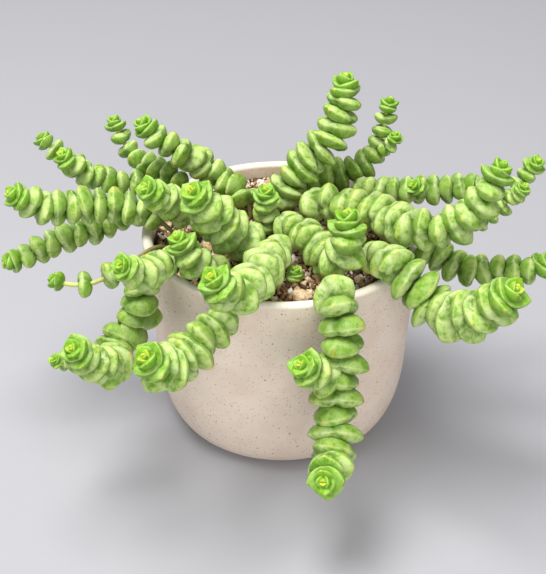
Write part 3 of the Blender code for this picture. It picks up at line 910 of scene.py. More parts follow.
@dataclass(frozen=True)
class LeafForm:
    """The shape of one leaf pair, two leaves joined round the stalk, in half leaf lengths.

    The pair lies along X with the stalk along +Z. start and end are the angles, in degrees above level,
    of a leaf's middle line near the stalk and at its tip, and spoon is how far its sides curl up.
    """

    name: str
    width: float
    waist: float
    thickness: float
    start: float
    end: float
    spoon: float
    crease: float = 0.16
    lopsided: float = 0.0
    lopsided_rise: float = 3.0
    twist: float = 0.0
    crown: float = 0.42
    dish: float = 0.0
    point: float = 0.02
    seam: float = 0.16
    tip_reach: float = 0.06
    rim_reach: float = 0.25
    # The shoulder and end of each hump: seen from above, seen from the side, the upper and the lower face
    outline_hump: tuple[float, float] = (2.1, 0.70)
    depth_hump: tuple[float, float] = (2.3, 0.56)
    upper_hump: tuple[float, float] = (2.5, 0.60)
    lower_hump: tuple[float, float] = (2.4, 0.56)
    bend_steps: int = 12
    bend_reach: float = 0.16
    bend_power: float = 1.2
    # 1 spaces the sections evenly, and 0 crowds them at the tips
    evenness: float = 0.45
    sections: int = 21
    ring: tuple[float, ...] = (0, 12, 30, 58, 90, 122, 150, 168, 180, 190, 208, 237, 270, 303, 332, 350)

    def outline(self, spot: float) -> float:
        """The pair's half width at a spot from -1 to 1."""
        narrowed = 1 - (1 - self.waist) * fade(spot, self.seam)
        return self.width * hump(spot, *self.outline_hump) * narrowed

    def depth(self, spot: float) -> float:
        """The pair's thickness at a spot from -1 to 1."""
        creased = 1 - self.crease * fade(spot, self.seam)
        return self.thickness * hump(spot, *self.depth_hump) * creased

    def middle_line(self, reach: float) -> tuple[float, float, float]:
        """A leaf's middle line at a length from the stalk.

        Args:
            reach: the length along the leaf.

        Returns:
            How far out and how far up it is there, and its angle.
        """
        out = up = angle = 0.0
        for step in range(self.bend_steps):
            share = reach * (step + 0.5) / self.bend_steps
            rise = self.start * min(1.0, share / self.bend_reach)
            angle = math.radians(rise + (self.end - self.start) * share ** self.bend_power)
            out += math.cos(angle) * reach / self.bend_steps
            up += math.sin(angle) * reach / self.bend_steps
        return out, up, angle

    def section(self, spot: float) -> list[tuple[float, ...]]:
        """A ring of the pair's skin.

        Args:
            spot: where it is along the pair, from -1 to 1.

        Returns:
            For each point its place and its marks, in the order of LEAF_MARKS.
        """
        hand = 1 if spot >= 0 else -1
        scale = 1 + self.lopsided * hand * min(1.0, abs(spot) * self.lopsided_rise)
        width, depth = self.outline(spot) * scale, self.depth(spot)
        out, up, angle = self.middle_line(abs(spot) * scale)
        found = []
        for degrees in self.ring:
            around = math.radians(degrees)
            across = math.cos(around)
            if math.sin(around) >= 0:
                rise = self.crown * hump(across, *self.upper_hump)
                lift = depth * (rise - self.dish * (1 - across * across))
            else:
                lift = -depth * (1 - self.crown) * hump(across, *self.lower_hump)
            lift += self.spoon * (width * across) ** 2
            lift += self.twist * hand * width * across
            place = (hand * (out - math.sin(angle) * lift), width * across, up + math.cos(angle) * lift)
            edge = max(0.0, 1 - abs(math.sin(around)))
            tip = max(0.0, 1 - (1 - abs(spot)) / self.tip_reach)
            top = 0.5 + 0.5 * max(-1.0, min(1.0, math.sin(around) / self.rim_reach))
            found.append((*place, edge, tip, abs(spot), width * across, top))
        return found

    def mesh(self) -> bpy.types.Mesh:
        """The closed mesh of the pair, with the attributes that the leaf's material reads."""
        rows = []
        for index in range(1, self.sections + 1):
            share = 2 * index / (self.sections + 1) - 1
            crowded = math.sin(share * math.pi / 2)
            rows.extend(self.section(self.evenness * share + (1 - self.evenness) * crowded))
        count = len(self.ring)
        last = len(rows) - count
        faces = ring_faces(self.sections, count)
        for hand in (-1, 1):
            out, up, angle = self.middle_line(1 + self.lopsided * hand)
            pole = (hand * (out + math.cos(angle) * self.point), 0.0, up + math.sin(angle) * self.point)
            rows.append((*pole, 1.0, 1.0, 1.0, 0.0, 0.5))
        for k in range(count):
            after = (k + 1) % count
            faces.append((after, k, len(rows) - 2))
            faces.append((last + k, last + after, len(rows) - 1))
        table = np.array(rows)
        mesh = mesh_of(self.name, table[:, :3], faces)
        outward(mesh)
        for column, mark in enumerate(LEAF_MARKS, start=3):
            store(mesh, mark, Kind.NUMBER, table[:, column])
        return mesh


class FormSet:
    """Helper objects in a collection of their own, which a tree copies from."""

    def __init__(self, name: str) -> None:
        """Starts the collection."""
        self.collection = bpy.data.collections.new(name)

    def add(self, mesh: bpy.types.Mesh) -> None:
        """Adds a helper object with this mesh and its name."""
        self.collection.objects.link(bpy.data.objects.new(mesh.name, mesh))

    def clear(self) -> None:
        """Removes the helpers once they have been copied."""
        for helper in list(self.collection.objects):
            bpy.data.objects.remove(helper)
        bpy.data.collections.remove(self.collection)


class LeafKit(FormSet):
    """The set of leaf pairs that the stems are strung with, plain ones first, then the rosettes' own."""

    plain_forms = 12
    rosette_forms = 3
    # Each rosette pair from the outside in: width, waist, thickness, start, end, spoon
    rosette = ((0.80, 0.90, 0.70, 4, 28, 0.08), (0.74, 0.90, 0.68, 14, 42, 0.14),
               (0.72, 0.90, 0.72, 26, 56, 0.18), (0.70, 0.90, 0.80, 40, 70, 0.20),
               (0.80, 0.96, 0.95, 54, 80, 0.10))
    plain_thickness = 0.80

    def __init__(self) -> None:
        """Makes the forms."""
        super().__init__("leaf_forms")
        rng = random.Random(LOOKS_SEED)
        for index in range(self.plain_forms):
            form = LeafForm(
                f"form_{index:02d}", width=rng.uniform(0.78, 0.90), waist=rng.uniform(0.84, 0.96),
                thickness=self.plain_thickness * rng.uniform(0.92, 1.08), start=rng.uniform(-2, 6),
                end=rng.uniform(8, 24), spoon=rng.uniform(0.0, 0.10), crease=rng.uniform(0.16, 0.28),
                lopsided=rng.uniform(-0.08, 0.08), twist=rng.uniform(-0.07, 0.07))
            self.add(form.mesh())
        for level, (width, waist, thickness, start, end, spoon) in enumerate(self.rosette):
            for variant in range(self.rosette_forms):
                number = self.rosette_form(level, variant)
                form = LeafForm(
                    f"form_{number:02d}", width=width * rng.uniform(0.94, 1.05), waist=waist,
                    thickness=thickness, start=start + rng.uniform(-3, 3), end=end + rng.uniform(-5, 5),
                    spoon=spoon * rng.uniform(0.85, 1.15), crease=0.1, lopsided=rng.uniform(-0.06, 0.06),
                    twist=rng.uniform(-0.05, 0.05), crown=0.30, dish=0.06, point=0.05)
                self.add(form.mesh())

    @classmethod
    def rosette_form(cls, level: int, variant: int) -> int:
        """The number of a variant of a rosette pair, whose levels count from the outside in."""
        return cls.plain_forms + level * cls.rosette_forms + variant


class Recipe(TreeWriter):
    """A Geometry Nodes tree with named inputs, one of them the material of what it makes."""

    def __init__(self, name: str, inputs: dict[str, tuple[str, object]]) -> None:
        """Starts the tree.

        Args:
            name: the tree's name.
            inputs: the type and the default value of each further input.
        """
        super().__init__(bpy.data.node_groups.new(name, "GeometryNodeTree"))
        face = self.tree.interface
        for way in ("INPUT", "OUTPUT"):
            face.new_socket("Geometry", in_out=way, socket_type="NodeSocketGeometry")
        self.keys: dict[str, str] = {}
        for label, (kind, default) in {"Material": ("NodeSocketMaterial", None), **inputs}.items():
            socket = face.new_socket(label, in_out="INPUT", socket_type=kind)
            if default is not None:
                socket.default_value = default
            self.keys[label] = socket.identifier
        self.given = self.node("NodeGroupInput").outputs

    def read(self, name: str, kind: Kind) -> bpy.types.NodeSocket:
        """An attribute of the incoming geometry."""
        settings = {"data_type": kind.value}
        return self.node("GeometryNodeInputNamedAttribute", settings, {"Name": name}).outputs[0]

    def draw(self, low: Input, high: Input, seed: Input,
             kind: Kind = Kind.NUMBER) -> bpy.types.NodeSocket:
        """A seeded random value for each point.

        Args:
            low: the lowest value.
            high: the highest value.
            seed: the seed.
            kind: a number or a vector.

        Returns:
            The random value.
        """
        made = self.node("FunctionNodeRandomValue", {"data_type": kind.value}, {"Seed": seed})
        ends = [socket for socket in made.inputs if socket.enabled and socket.name in ("Min", "Max")]
        self.feed(ends[0], low)
        self.feed(ends[1], high)
        return next(socket for socket in made.outputs if socket.enabled)

    def turn(self, angles: Input) -> bpy.types.NodeSocket:
        """The rotation by three angles."""
        return self.node("FunctionNodeEulerToRotation", None, {"Euler": angles}).outputs[0]

    def copies(self, forms: str, inputs: dict[str | int, Input]) -> bpy.types.NodeSocket:
        """Copies the objects of a collection onto points.

        Args:
            forms: the named input that gives the collection.
            inputs: the points, and each copy's choice, rotation and scale.

        Returns:
            The copies.
        """
        source = {"Collection": self.given[forms], "Separate Children": True, "Reset Children": True}
        children = self.node("GeometryNodeCollectionInfo", None, source).outputs[0]
        placed = {"Instance": children, "Pick Instance": True, **inputs}
        return self.node("GeometryNodeInstanceOnPoints", None, placed).outputs[0]

    def close(self, geometry: bpy.types.NodeSocket) -> None:
        """Ends the tree: instances made real, one material, then the output.

        Args:
            geometry: what the tree has made.
        """
        real = self.node("GeometryNodeRealizeInstances", None, {"Geometry": geometry}).outputs[0]
        inputs = {"Geometry": real, "Material": self.given["Material"]}
        painted = self.node("GeometryNodeSetMaterial", None, inputs).outputs[0]
        self.node("NodeGroupOutput", None, {0: painted})

    def run(self, helper: bpy.types.Object, values: dict[str, object]) -> bpy.types.Object:
        """Runs the tree on an object and keeps the result as its mesh.

        Args:
            helper: the object that the tree starts from.
            values: a value for each named input.

        Returns:
            The same object with a plain mesh.
        """
        modifier = helper.modifiers.new(self.tree.name, "NODES")
        modifier.node_group = self.tree
        for label, value in values.items():
            modifier[self.keys[label]] = value
        return settled(helper)


class LeafString(Recipe):
    """Strings leaf pairs on points that say where, which way and how large each pair is."""

    def __init__(self) -> None:
        """Builds the tree."""
        super().__init__("leaf_string", {
            "Forms": ("NodeSocketCollection", None), "Tilt": ("NodeSocketFloat", 0.07),
            "Seed": ("NodeSocketInt", 0)})
        settings = {"primary_axis": "Z", "secondary_axis": "X"}
        axes = {0: self.read("along", Kind.VECTOR), 1: self.read("axis", Kind.VECTOR)}
        aimed = self.node("FunctionNodeAxesToRotation", settings, axes)
        tilt = self.given["Tilt"]
        spread = self.node("ShaderNodeCombineXYZ", None, {0: tilt, 1: tilt, 2: tilt}).outputs[0]
        against = self.node("ShaderNodeVectorMath", {"operation": "SCALE"}, {0: spread, "Scale": -1.0})
        lean = self.turn(self.draw(against.outputs[0], spread, self.given["Seed"], Kind.VECTOR))
        turned = self.node("FunctionNodeRotateRotation", {"rotation_space": "LOCAL"}, {
            "Rotation": aimed.outputs[0], "Rotate By": lean})
        self.close(self.copies("Forms", {
            "Points": self.given["Geometry"], "Instance Index": self.read("form", Kind.WHOLE),
            "Rotation": turned.outputs[0], "Scale": self.read("size", Kind.VECTOR)}))


class StalkTube(Recipe):
    """Draws a round stalk along a line of points with a swell attribute."""

    def __init__(self) -> None:
        """Builds the tree."""
        super().__init__("stalk_tube", {
            "Radius": ("NodeSocketFloat", 0.0013), "Sides": ("NodeSocketInt", 12)})
        line = self.node("GeometryNodeMeshToCurve", None, {"Mesh": self.given["Geometry"]})
        ring = self.node("GeometryNodeCurvePrimitiveCircle", None, {
            "Resolution": self.given["Sides"], "Radius": self.given["Radius"]})
        tube = self.node("GeometryNodeCurveToMesh", None, {
            "Curve": line.outputs[0], "Profile Curve": ring.outputs[0],
            "Scale": self.read("swell", Kind.NUMBER), "Fill Caps": True})
        smooth = self.node("GeometryNodeSetShadeSmooth", None, {"Geometry": tube.outputs[0]})
        self.close(smooth.outputs[0])


@dataclass
class Plant:
    """The leafy stems, each with its side shoots."""

    root_depth: float = 6.5
    straight_root: float = 2.2
    # Where the plain pairs end below the tip, then how far below it each rosette pair sits, and that
    # pair's leaf length, all in half leaf lengths
    crown_back: float = 0.80
    rosette_back: tuple[float, ...] = (0.94, 0.63, 0.43, 0.29, 0.19)
    rosette_size: tuple[float, ...] = (1.02, 0.86, 0.64, 0.40, 0.21)
    rosette_youth: tuple[float, ...] = (0.50, 0.60, 0.72, 0.86, 1.0)
    # How thick a pair may be, in steps to the pair below and to the one above
    pitch_fill: float = 1.20
    tip_fill: float = 2.2
    size_spread: float = 0.04
    thick_range: tuple[float, float] = (0.95, 1.06)
    wide_range: tuple[float, float] = (0.95, 1.03)
    turn_spread: float = 12.0
    rosette_turn_spread: float = 5.0
    tilt: float = 0.11
    # How young a plain pair is at the tip, and how far below the tip a stem's youth fades
    pair_youth: float = 0.5
    youth_reach: float = 13.0
    stalk_radius: float = 0.95
    stalk_sides: int = 12
    stalk_step: float = 0.8
    # How much thicker the stalk is at a pair, and how far along it that fades
    node_swell: float = 0.22
    node_reach: float = 0.9
    leaf: LeafFinish = LeafFinish()
    stalk: StalkFinish = StalkFinish()

    def planted_route(self, stem: Stem) -> tuple[Point, ...]:
        """A stem's route with its straight root in the soil. A side shoot has no root.

        Args:
            stem: the stem.

        Returns:
            The route's points.
        """
        if stem.parent:
            return stem.route
        x, y, _ = stem.route[0]
        root = (x, y, SOIL_LEVEL - self.root_depth)
        collar = (x, y, SOIL_LEVEL + self.straight_root)
        return (root, collar, *stem.route[1:])

    def leaf_size(self, stem: Stem, share: float) -> float:
        """The half leaf length of a pair.

        Args:
            stem: the stem.
            share: how far the pair is from the first one to the rosette, from 0 to 1.

        Returns:
            The half leaf length.
        """
        spot = share * (len(stem.leaf) - 1)
        low = min(int(spot), len(stem.leaf) - 2)
        return stem.leaf[low] + (stem.leaf[low + 1] - stem.leaf[low]) * (spot - low)

    def pair_places(self, stem: Stem, total: float, rng: random.Random) -> list[tuple[float, float]]:
        """Where each plain pair sits, root to tip.

        Args:
            stem: the stem.
            total: the length of its route.
            rng: the stem's own random numbers.

        Returns:
            The length along the stem and the half leaf length of each pair.
        """
        crown = total - self.crown_back * stem.leaf[-1]
        first = stem.bare + (0.0 if stem.parent else self.root_depth)
        span = crown - first
        count = max(0, round(span / stem.pitch))
        pairs = []
        for i in range(count):
            share = i / count
            size = self.leaf_size(stem, share) * (1 + rng.uniform(-self.size_spread, self.size_spread))
            pairs.append((first + span * share, size))
        return pairs

    def youth_at(self, left: float) -> float:
        """How young a stem is where this length of it is left above, 1 at its tip."""
        return math.exp(-left / self.youth_reach)

    def strung(self, stem: Stem, order: int) -> tuple[list[Row], list[Row]]:
        """The leaf pairs and the stalk of one stem.

        Args:
            stem: the stem.
            order: its place in the table, which seeds its random numbers.

        Returns:
            A row of values for each leaf pair, and one for each point of the stalk.
        """
        path = Path(self.planted_route(stem))
        pairs = self.pair_places(stem, path.total, random.Random(SEED + order))
        stops = [length for length, _ in pairs] + [path.total - self.crown_back * stem.leaf[-1]]
        rng = random.Random(LOOKS_SEED + order)
        rows = []
        for index, (length, size) in enumerate(pairs):
            behind = length - stops[index - 1] if index else length
            ahead = stops[index + 1] - length
            thick = min(size, self.pitch_fill * behind, self.tip_fill * ahead)
            thick *= rng.uniform(*self.thick_range) / LeafKit.plain_thickness
            angle = stem.turn - 90 * (index % 2) + rng.uniform(-self.turn_spread, self.turn_spread)
            scale = (size, size * rng.uniform(*self.wide_range), thick)
            form = rng.randrange(LeafKit.plain_forms)
            youth = self.pair_youth * self.youth_at(path.total - length)
            rows.append(self.pair_row(path, length, angle, scale, form, youth, rng.random()))
        rows += self.rosette(stem, path, len(pairs), rng)
        return rows, self.stalk_line(path, stops, path.total - self.rosette_back[2] * stem.leaf[-1])

    def rosette(self, stem: Stem, path: Path, below: int, rng: random.Random) -> list[Row]:
        """The leaf pairs that close into a stem's rosette.

        Args:
            stem: the stem.
            path: its path.
            below: the number of plain pairs below them, after which the quarter turns go on.
            rng: the stem's own random numbers.

        Returns:
            A row of values for each pair.
        """
        rows = []
        for level, (back, share) in enumerate(zip(self.rosette_back, self.rosette_size)):
            around = rng.uniform(-self.rosette_turn_spread, self.rosette_turn_spread)
            angle = stem.turn - 90 * ((below + level) % 2) + around
            size = share * stem.leaf[-1]
            form = LeafKit.rosette_form(level, rng.randrange(LeafKit.rosette_forms))
            rows.append(self.pair_row(path, path.total - back * stem.leaf[-1], angle, (size, size, size),
                                      form, self.rosette_youth[level], rng.random()))
        return rows

    def stalk_line(self, path: Path, stops: list[float], top: float) -> list[Row]:
        """The stalk's middle line, with a swelling at each pair.

        Args:
            path: the stem's path.
            stops: the lengths along it at which the pairs sit.
            top: the length at which the stalk ends.

        Returns:
            A row of values for each point.
        """
        steps = max(2, round(top / self.stalk_step))
        line = []
        for step in range(steps + 1):
            length = top * step / steps
            near = min(abs(length - stop) for stop in stops)
            swell = 1 + self.node_swell * fade(near, self.node_reach)
            youth = self.youth_at(path.total - length)
            line.append({"place": path.at(length)[0], "swell": swell, "youth": youth})
        return line

    def pair_row(self, path: Path, length: float, angle: float, size: tuple[float, float, float],
                 form: int, youth: float, tint: float) -> Row:
        """The values of one leaf pair.

        Args:
            path: the stem's path.
            length: where the pair sits on it.
            angle: the pair's turn about the stalk, in degrees.
            size: its scale along, across and through, in millimetres.
            form: which form it is.
            youth: how young it looks, from 0 to 1.
            tint: its own random number.

        Returns:
            The values, as the tree's attributes.
        """
        place, along, side, across = path.at(length)
        around = math.radians(angle)
        axis = side * math.cos(around) + across * math.sin(around)
        return {"place": place, "along": along, "axis": axis, "size": Vector(size) * MM, "form": form,
                "youth": youth, "tint": tint}

    def points(self, name: str, rows: list[Row],
               edges: Sequence[tuple[int, int]] = ()) -> bpy.types.Object:
        """A helper object with a vertex for each row and the rest of the row as attributes.

        Args:
            name: the object's name.
            rows: the rows of values.
            edges: the pairs of vertices that a line joins.

        Returns:
            The helper object.
        """
        kinds = {"along": Kind.VECTOR, "axis": Kind.VECTOR, "size": Kind.VECTOR, "form": Kind.WHOLE,
                 "youth": Kind.NUMBER, "tint": Kind.NUMBER, "swell": Kind.NUMBER}
        mesh = bpy.data.meshes.new(name)
        mesh.from_pydata([row["place"] * MM for row in rows], edges, [])
        for key in rows[0]:
            if key in kinds:
                store(mesh, key, kinds[key], [row[key] for row in rows])
        return link(bpy.data.objects.new(name, mesh))

    def lines(self, name: str, lines: list[list[Row]]) -> bpy.types.Object:
        """A helper object with a line of vertices through each list of rows.

        Args:
            name: the object's name.
            lines: the rows of values of each line's points.

        Returns:
            The helper object.
        """
        rows, edges = [], []
        for line in lines:
            edges += [(len(rows) + k, len(rows) + k + 1) for k in range(len(line) - 1)]
            rows += line
        return self.points(name, rows, edges)

    def build(self) -> None:
        """Builds every stem's leaves and stalk in place of its plain node."""
        kit, string, tube = LeafKit(), LeafString(), StalkTube()
        leaf, stalk = self.leaf.material(), self.stalk.material()
        leaves: dict[str, list[Row]] = {}
        stalks: dict[str, list[list[Row]]] = {}
        for order, (name, stem) in enumerate(STEMS.items()):
            rows, line = self.strung(stem, order)
            leaves.setdefault(stem.parent or name, []).extend(rows)
            stalks.setdefault(stem.parent or name, []).append(line)
        for order, node in enumerate(leaves):
            pairs = string.run(self.points(f"{node}_leaves", leaves[node]), {
                "Forms": kit.collection, "Material": leaf, "Tilt": self.tilt, "Seed": order})
            hand_over(pairs, [node])
            stalked = tube.run(self.lines(f"{node}_stalk", stalks[node]), {
                "Material": stalk, "Radius": self.stalk_radius * MM, "Sides": self.stalk_sides})
            hand_over(stalked, [node])
        kit.clear()


@dataclass
class Pot:
    """The turned clay pot."""

    height: float = 92.0
    rim_radius: float = 60.0
    body_radius: float = 55.2
    foot_radius: float = 42.2
    shoulder: float = 37.0
    wall: float = 4.4
    floor: float = 5.0
    lip_round: float = 1.9
    drain_holes: int = 3
    drain_radius: float = 1.9
    drain_circle: float = 14.0
    segments: int = 160
    drain_segments: int = 24
    corner_steps: int = 24
    bowl_steps: int = 12
    side_steps: int = 12
    lip_steps: int = 14
    sharp_angle: float = 50.0
    finish: ClayFinish = ClayFinish()

    def side_radius(self, height: float) -> float:
        """The outer radius at a height above the shoulder."""
        share = (height - self.shoulder) / (self.height - self.shoulder)
        return self.body_radius + (self.rim_radius - self.body_radius) * share

    def arc(self, centre: tuple[float, float], radii: tuple[float, float], start: float, end: float,
            steps: int) -> list[tuple[float, float]]:
        """Points on an ellipse's arc.

        Args:
            centre: its centre, as radius and height.
            radii: its two radii.
            start: the first angle in degrees.
            end: the last angle in degrees.
            steps: the number of steps between them.

        Returns:
            The points, as radius and height.
        """
        angles = [math.radians(start + (end - start) * i / steps) for i in range(steps + 1)]
        return [(centre[0] + radii[0] * math.cos(a), centre[1] + radii[1] * math.sin(a)) for a in angles]

    def bowl(self, top: float, clearance: float) -> list[tuple[float, float]]:
        """The inside from a height down to the floor's corner, set in by a clearance.

        Args:
            top: the height that it starts from.
            clearance: how far it is set in.

        Returns:
            The points, as radius and height.
        """
        points = [(self.side_radius(top) - self.wall - clearance, top)]
        radii = (self.body_radius - self.foot_radius - self.wall, self.shoulder - self.floor)
        corner = self.arc((self.foot_radius, self.shoulder), radii, 0, -90, self.bowl_steps)
        points += [(radius - clearance, max(height, self.floor + clearance)) for radius, height in corner]
        return points

    def profile(self) -> list[tuple[float, float]]:
        """The wall's outline from the foot out, up, over the lip and back to the floor inside."""
        radii = (self.body_radius - self.foot_radius, self.shoulder)
        corner = self.arc((self.foot_radius, self.shoulder), radii, -90, 0, self.corner_steps)
        top = self.height - self.lip_round
        heights = np.linspace(self.shoulder, top, self.side_steps)[1:-1]
        middle = (self.side_radius(top) - self.wall / 2, top)
        lip = self.arc(middle, (self.wall / 2, self.lip_round), 0, 180, self.lip_steps)
        return [*corner, *((self.side_radius(h), h) for h in heights), *lip, *self.bowl(top, 0.0)[1:]]

    def turned(self, name: str, profile: Sequence[tuple[float, float]], segments: int,
               centre: tuple[float, float] = (0.0, 0.0)) -> bpy.types.Mesh:
        """A closed mesh turned from an outline, with flat ends.

        Args:
            name: the mesh's name.
            profile: the outline, as radius and height.
            segments: the number of segments round it.
            centre: where its axis stands.

        Returns:
            The mesh.
        """
        verts = []
        for radius, height in profile:
            for around in full_turn(segments):
                x = centre[0] + radius * math.cos(around)
                verts.append((x * MM, (centre[1] + radius * math.sin(around)) * MM, height * MM))
        ends = [tuple(range(segments)), tuple(range(len(verts) - segments, len(verts)))]
        mesh = mesh_of(name, verts, [*ring_faces(len(profile), segments), *ends])
        outward(mesh)
        return mesh

    def build(self) -> None:
        """Builds the pot in place of its plain node."""
        wall = self.turned("pot_wall", self.profile(), self.segments)
        pot = link(bpy.data.objects.new("pot_wall", wall))
        through = [(self.drain_radius, -self.floor), (self.drain_radius, 2 * self.floor)]
        for around in full_turn(self.drain_holes):
            middle = (self.drain_circle * math.cos(around), self.drain_circle * math.sin(around))
            hole = self.turned("drain", through, self.drain_segments, middle)
            drain = link(bpy.data.objects.new("drain", hole))
            cut = pot.modifiers.new("cut", "BOOLEAN")
            cut.operation = "DIFFERENCE"
            cut.solver = "EXACT"
            cut.object = drain
            settled(pot)
            bpy.data.objects.remove(drain)
        pot.data.materials.clear()
        pot.data.materials.append(self.finish.material((self.height - self.lip_round) * MM))
        pot.data.shade_smooth()
        pot.data.set_sharp_from_angle(angle=math.radians(self.sharp_angle))
        hand_over(pot, ["pot"])


class StoneScatter(Recipe):
    """Scatters stones over a surface, each turned, sized and shaded by its own seeded draw."""

    # Points for each square metre, before those closer than the spacing are dropped
    crowd = 4e6
    shade_seed = 5

    def __init__(self) -> None:
        """Builds the tree."""
        super().__init__("stone_scatter", {
            "Stones": ("NodeSocketCollection", None), "Spacing": ("NodeSocketFloat", 0.002),
            "Smallest": ("NodeSocketFloat", 0.001), "Largest": ("NodeSocketFloat", 0.002),
            "Seed": ("NodeSocketInt", 0)})
        given = self.given
        spread = self.node("GeometryNodeDistributePointsOnFaces", {"distribute_method": "POISSON"}, {
            "Mesh": given["Geometry"], "Distance Min": given["Spacing"], "Density Max": self.crowd,
            "Density Factor": self.read("open", Kind.NUMBER), "Seed": given["Seed"]})
        angles = self.draw((0.0, 0.0, 0.0), (math.tau, math.tau, math.tau), given["Seed"], Kind.VECTOR)
        placed = self.copies("Stones", {
            "Points": spread.outputs["Points"], "Rotation": self.turn(angles),
            "Scale": self.draw(given["Smallest"], given["Largest"], given["Seed"])})
        shaded = self.node("GeometryNodeStoreNamedAttribute", {"domain": "INSTANCE"}, {
            "Geometry": placed, "Name": "shade", "Value": self.draw(0.0, 1.0, self.shade_seed)})
        self.close(shaded.outputs[0])


@dataclass(frozen=True)
class LargeStones:
    """The few larger stones, pitted and rounded. Their forms' sizes are in radii."""

    # Each stone: x, y, radius, height of its middle above the soil
    places: tuple[tuple[float, float, float, float], ...] = (
        (8.0, -45.5, 4.1, 0.6), (-3.0, 46.0, 3.2, 0.2), (38.0, 26.0, 3.2, 0.2))
    # Each layer of bulges: how closely they lie and how high they rise
    bulges: tuple[tuple[float, float], ...] = ((1.1, 0.30), (2.7, 0.12))
    pore_closeness: float = 7.0
    pore_start: float = 0.18
    pore_depth: float = 0.16
    flatness: float = 0.78
    fineness: int = 4
    # How far apart the stones read the noise that gives them their bulges and pores
    noise_spread: float = 40.0
    shade: float = 0.66
    finish: StoneFinish = StoneFinish("pumice", dust=srgb(74, 46, 30), pore=0.0011)

    def build(self) -> None:
        """Builds the stones as one piece."""
        rng = random.Random(LOOKS_SEED + 2)
        made = bmesh.new()
        for x, y, radius, height in self.places:
            bm = bmesh.new()
            bmesh.ops.create_icosphere(bm, subdivisions=self.fineness, radius=radius)
            shift = Vector((rng.random(), rng.random(), rng.random())) * self.noise_spread
            for vert in bm.verts:
                spot = vert.co / radius
                bulge = sum(noise.noise(spot * close + shift) * high for close, high in self.bulges)
                pore = max(0.0, noise.noise(spot * self.pore_closeness + shift) - self.pore_start)
                vert.co *= 1 + bulge - pore * self.pore_depth
                vert.co.z *= self.flatness
                vert.co += Vector((x, y, SOIL_LEVEL + height))
                vert.co *= MM
            mesh = bpy.data.meshes.new("stone")
            bm.to_mesh(mesh)
            bm.free()
            made.from_mesh(mesh)
            bpy.data.meshes.remove(mesh)
        mesh = bpy.data.meshes.new("large_stones")
        made.to_mesh(mesh)
        made.free()
        mesh.shade_smooth()
        store(mesh, "shade", Kind.NUMBER, [self.shade] * len(mesh.vertices))
        mesh.materials.append(self.finish.material())
        hand_over(link(bpy.data.objects.new("large_stones", mesh)), ["soil"])


@dataclass(frozen=True)
class Layer:
    """One layer of scattered stones: their least spacing, their radii and the seed of their draws."""

    spacing: float
    smallest: float
    largest: float
    seed: int


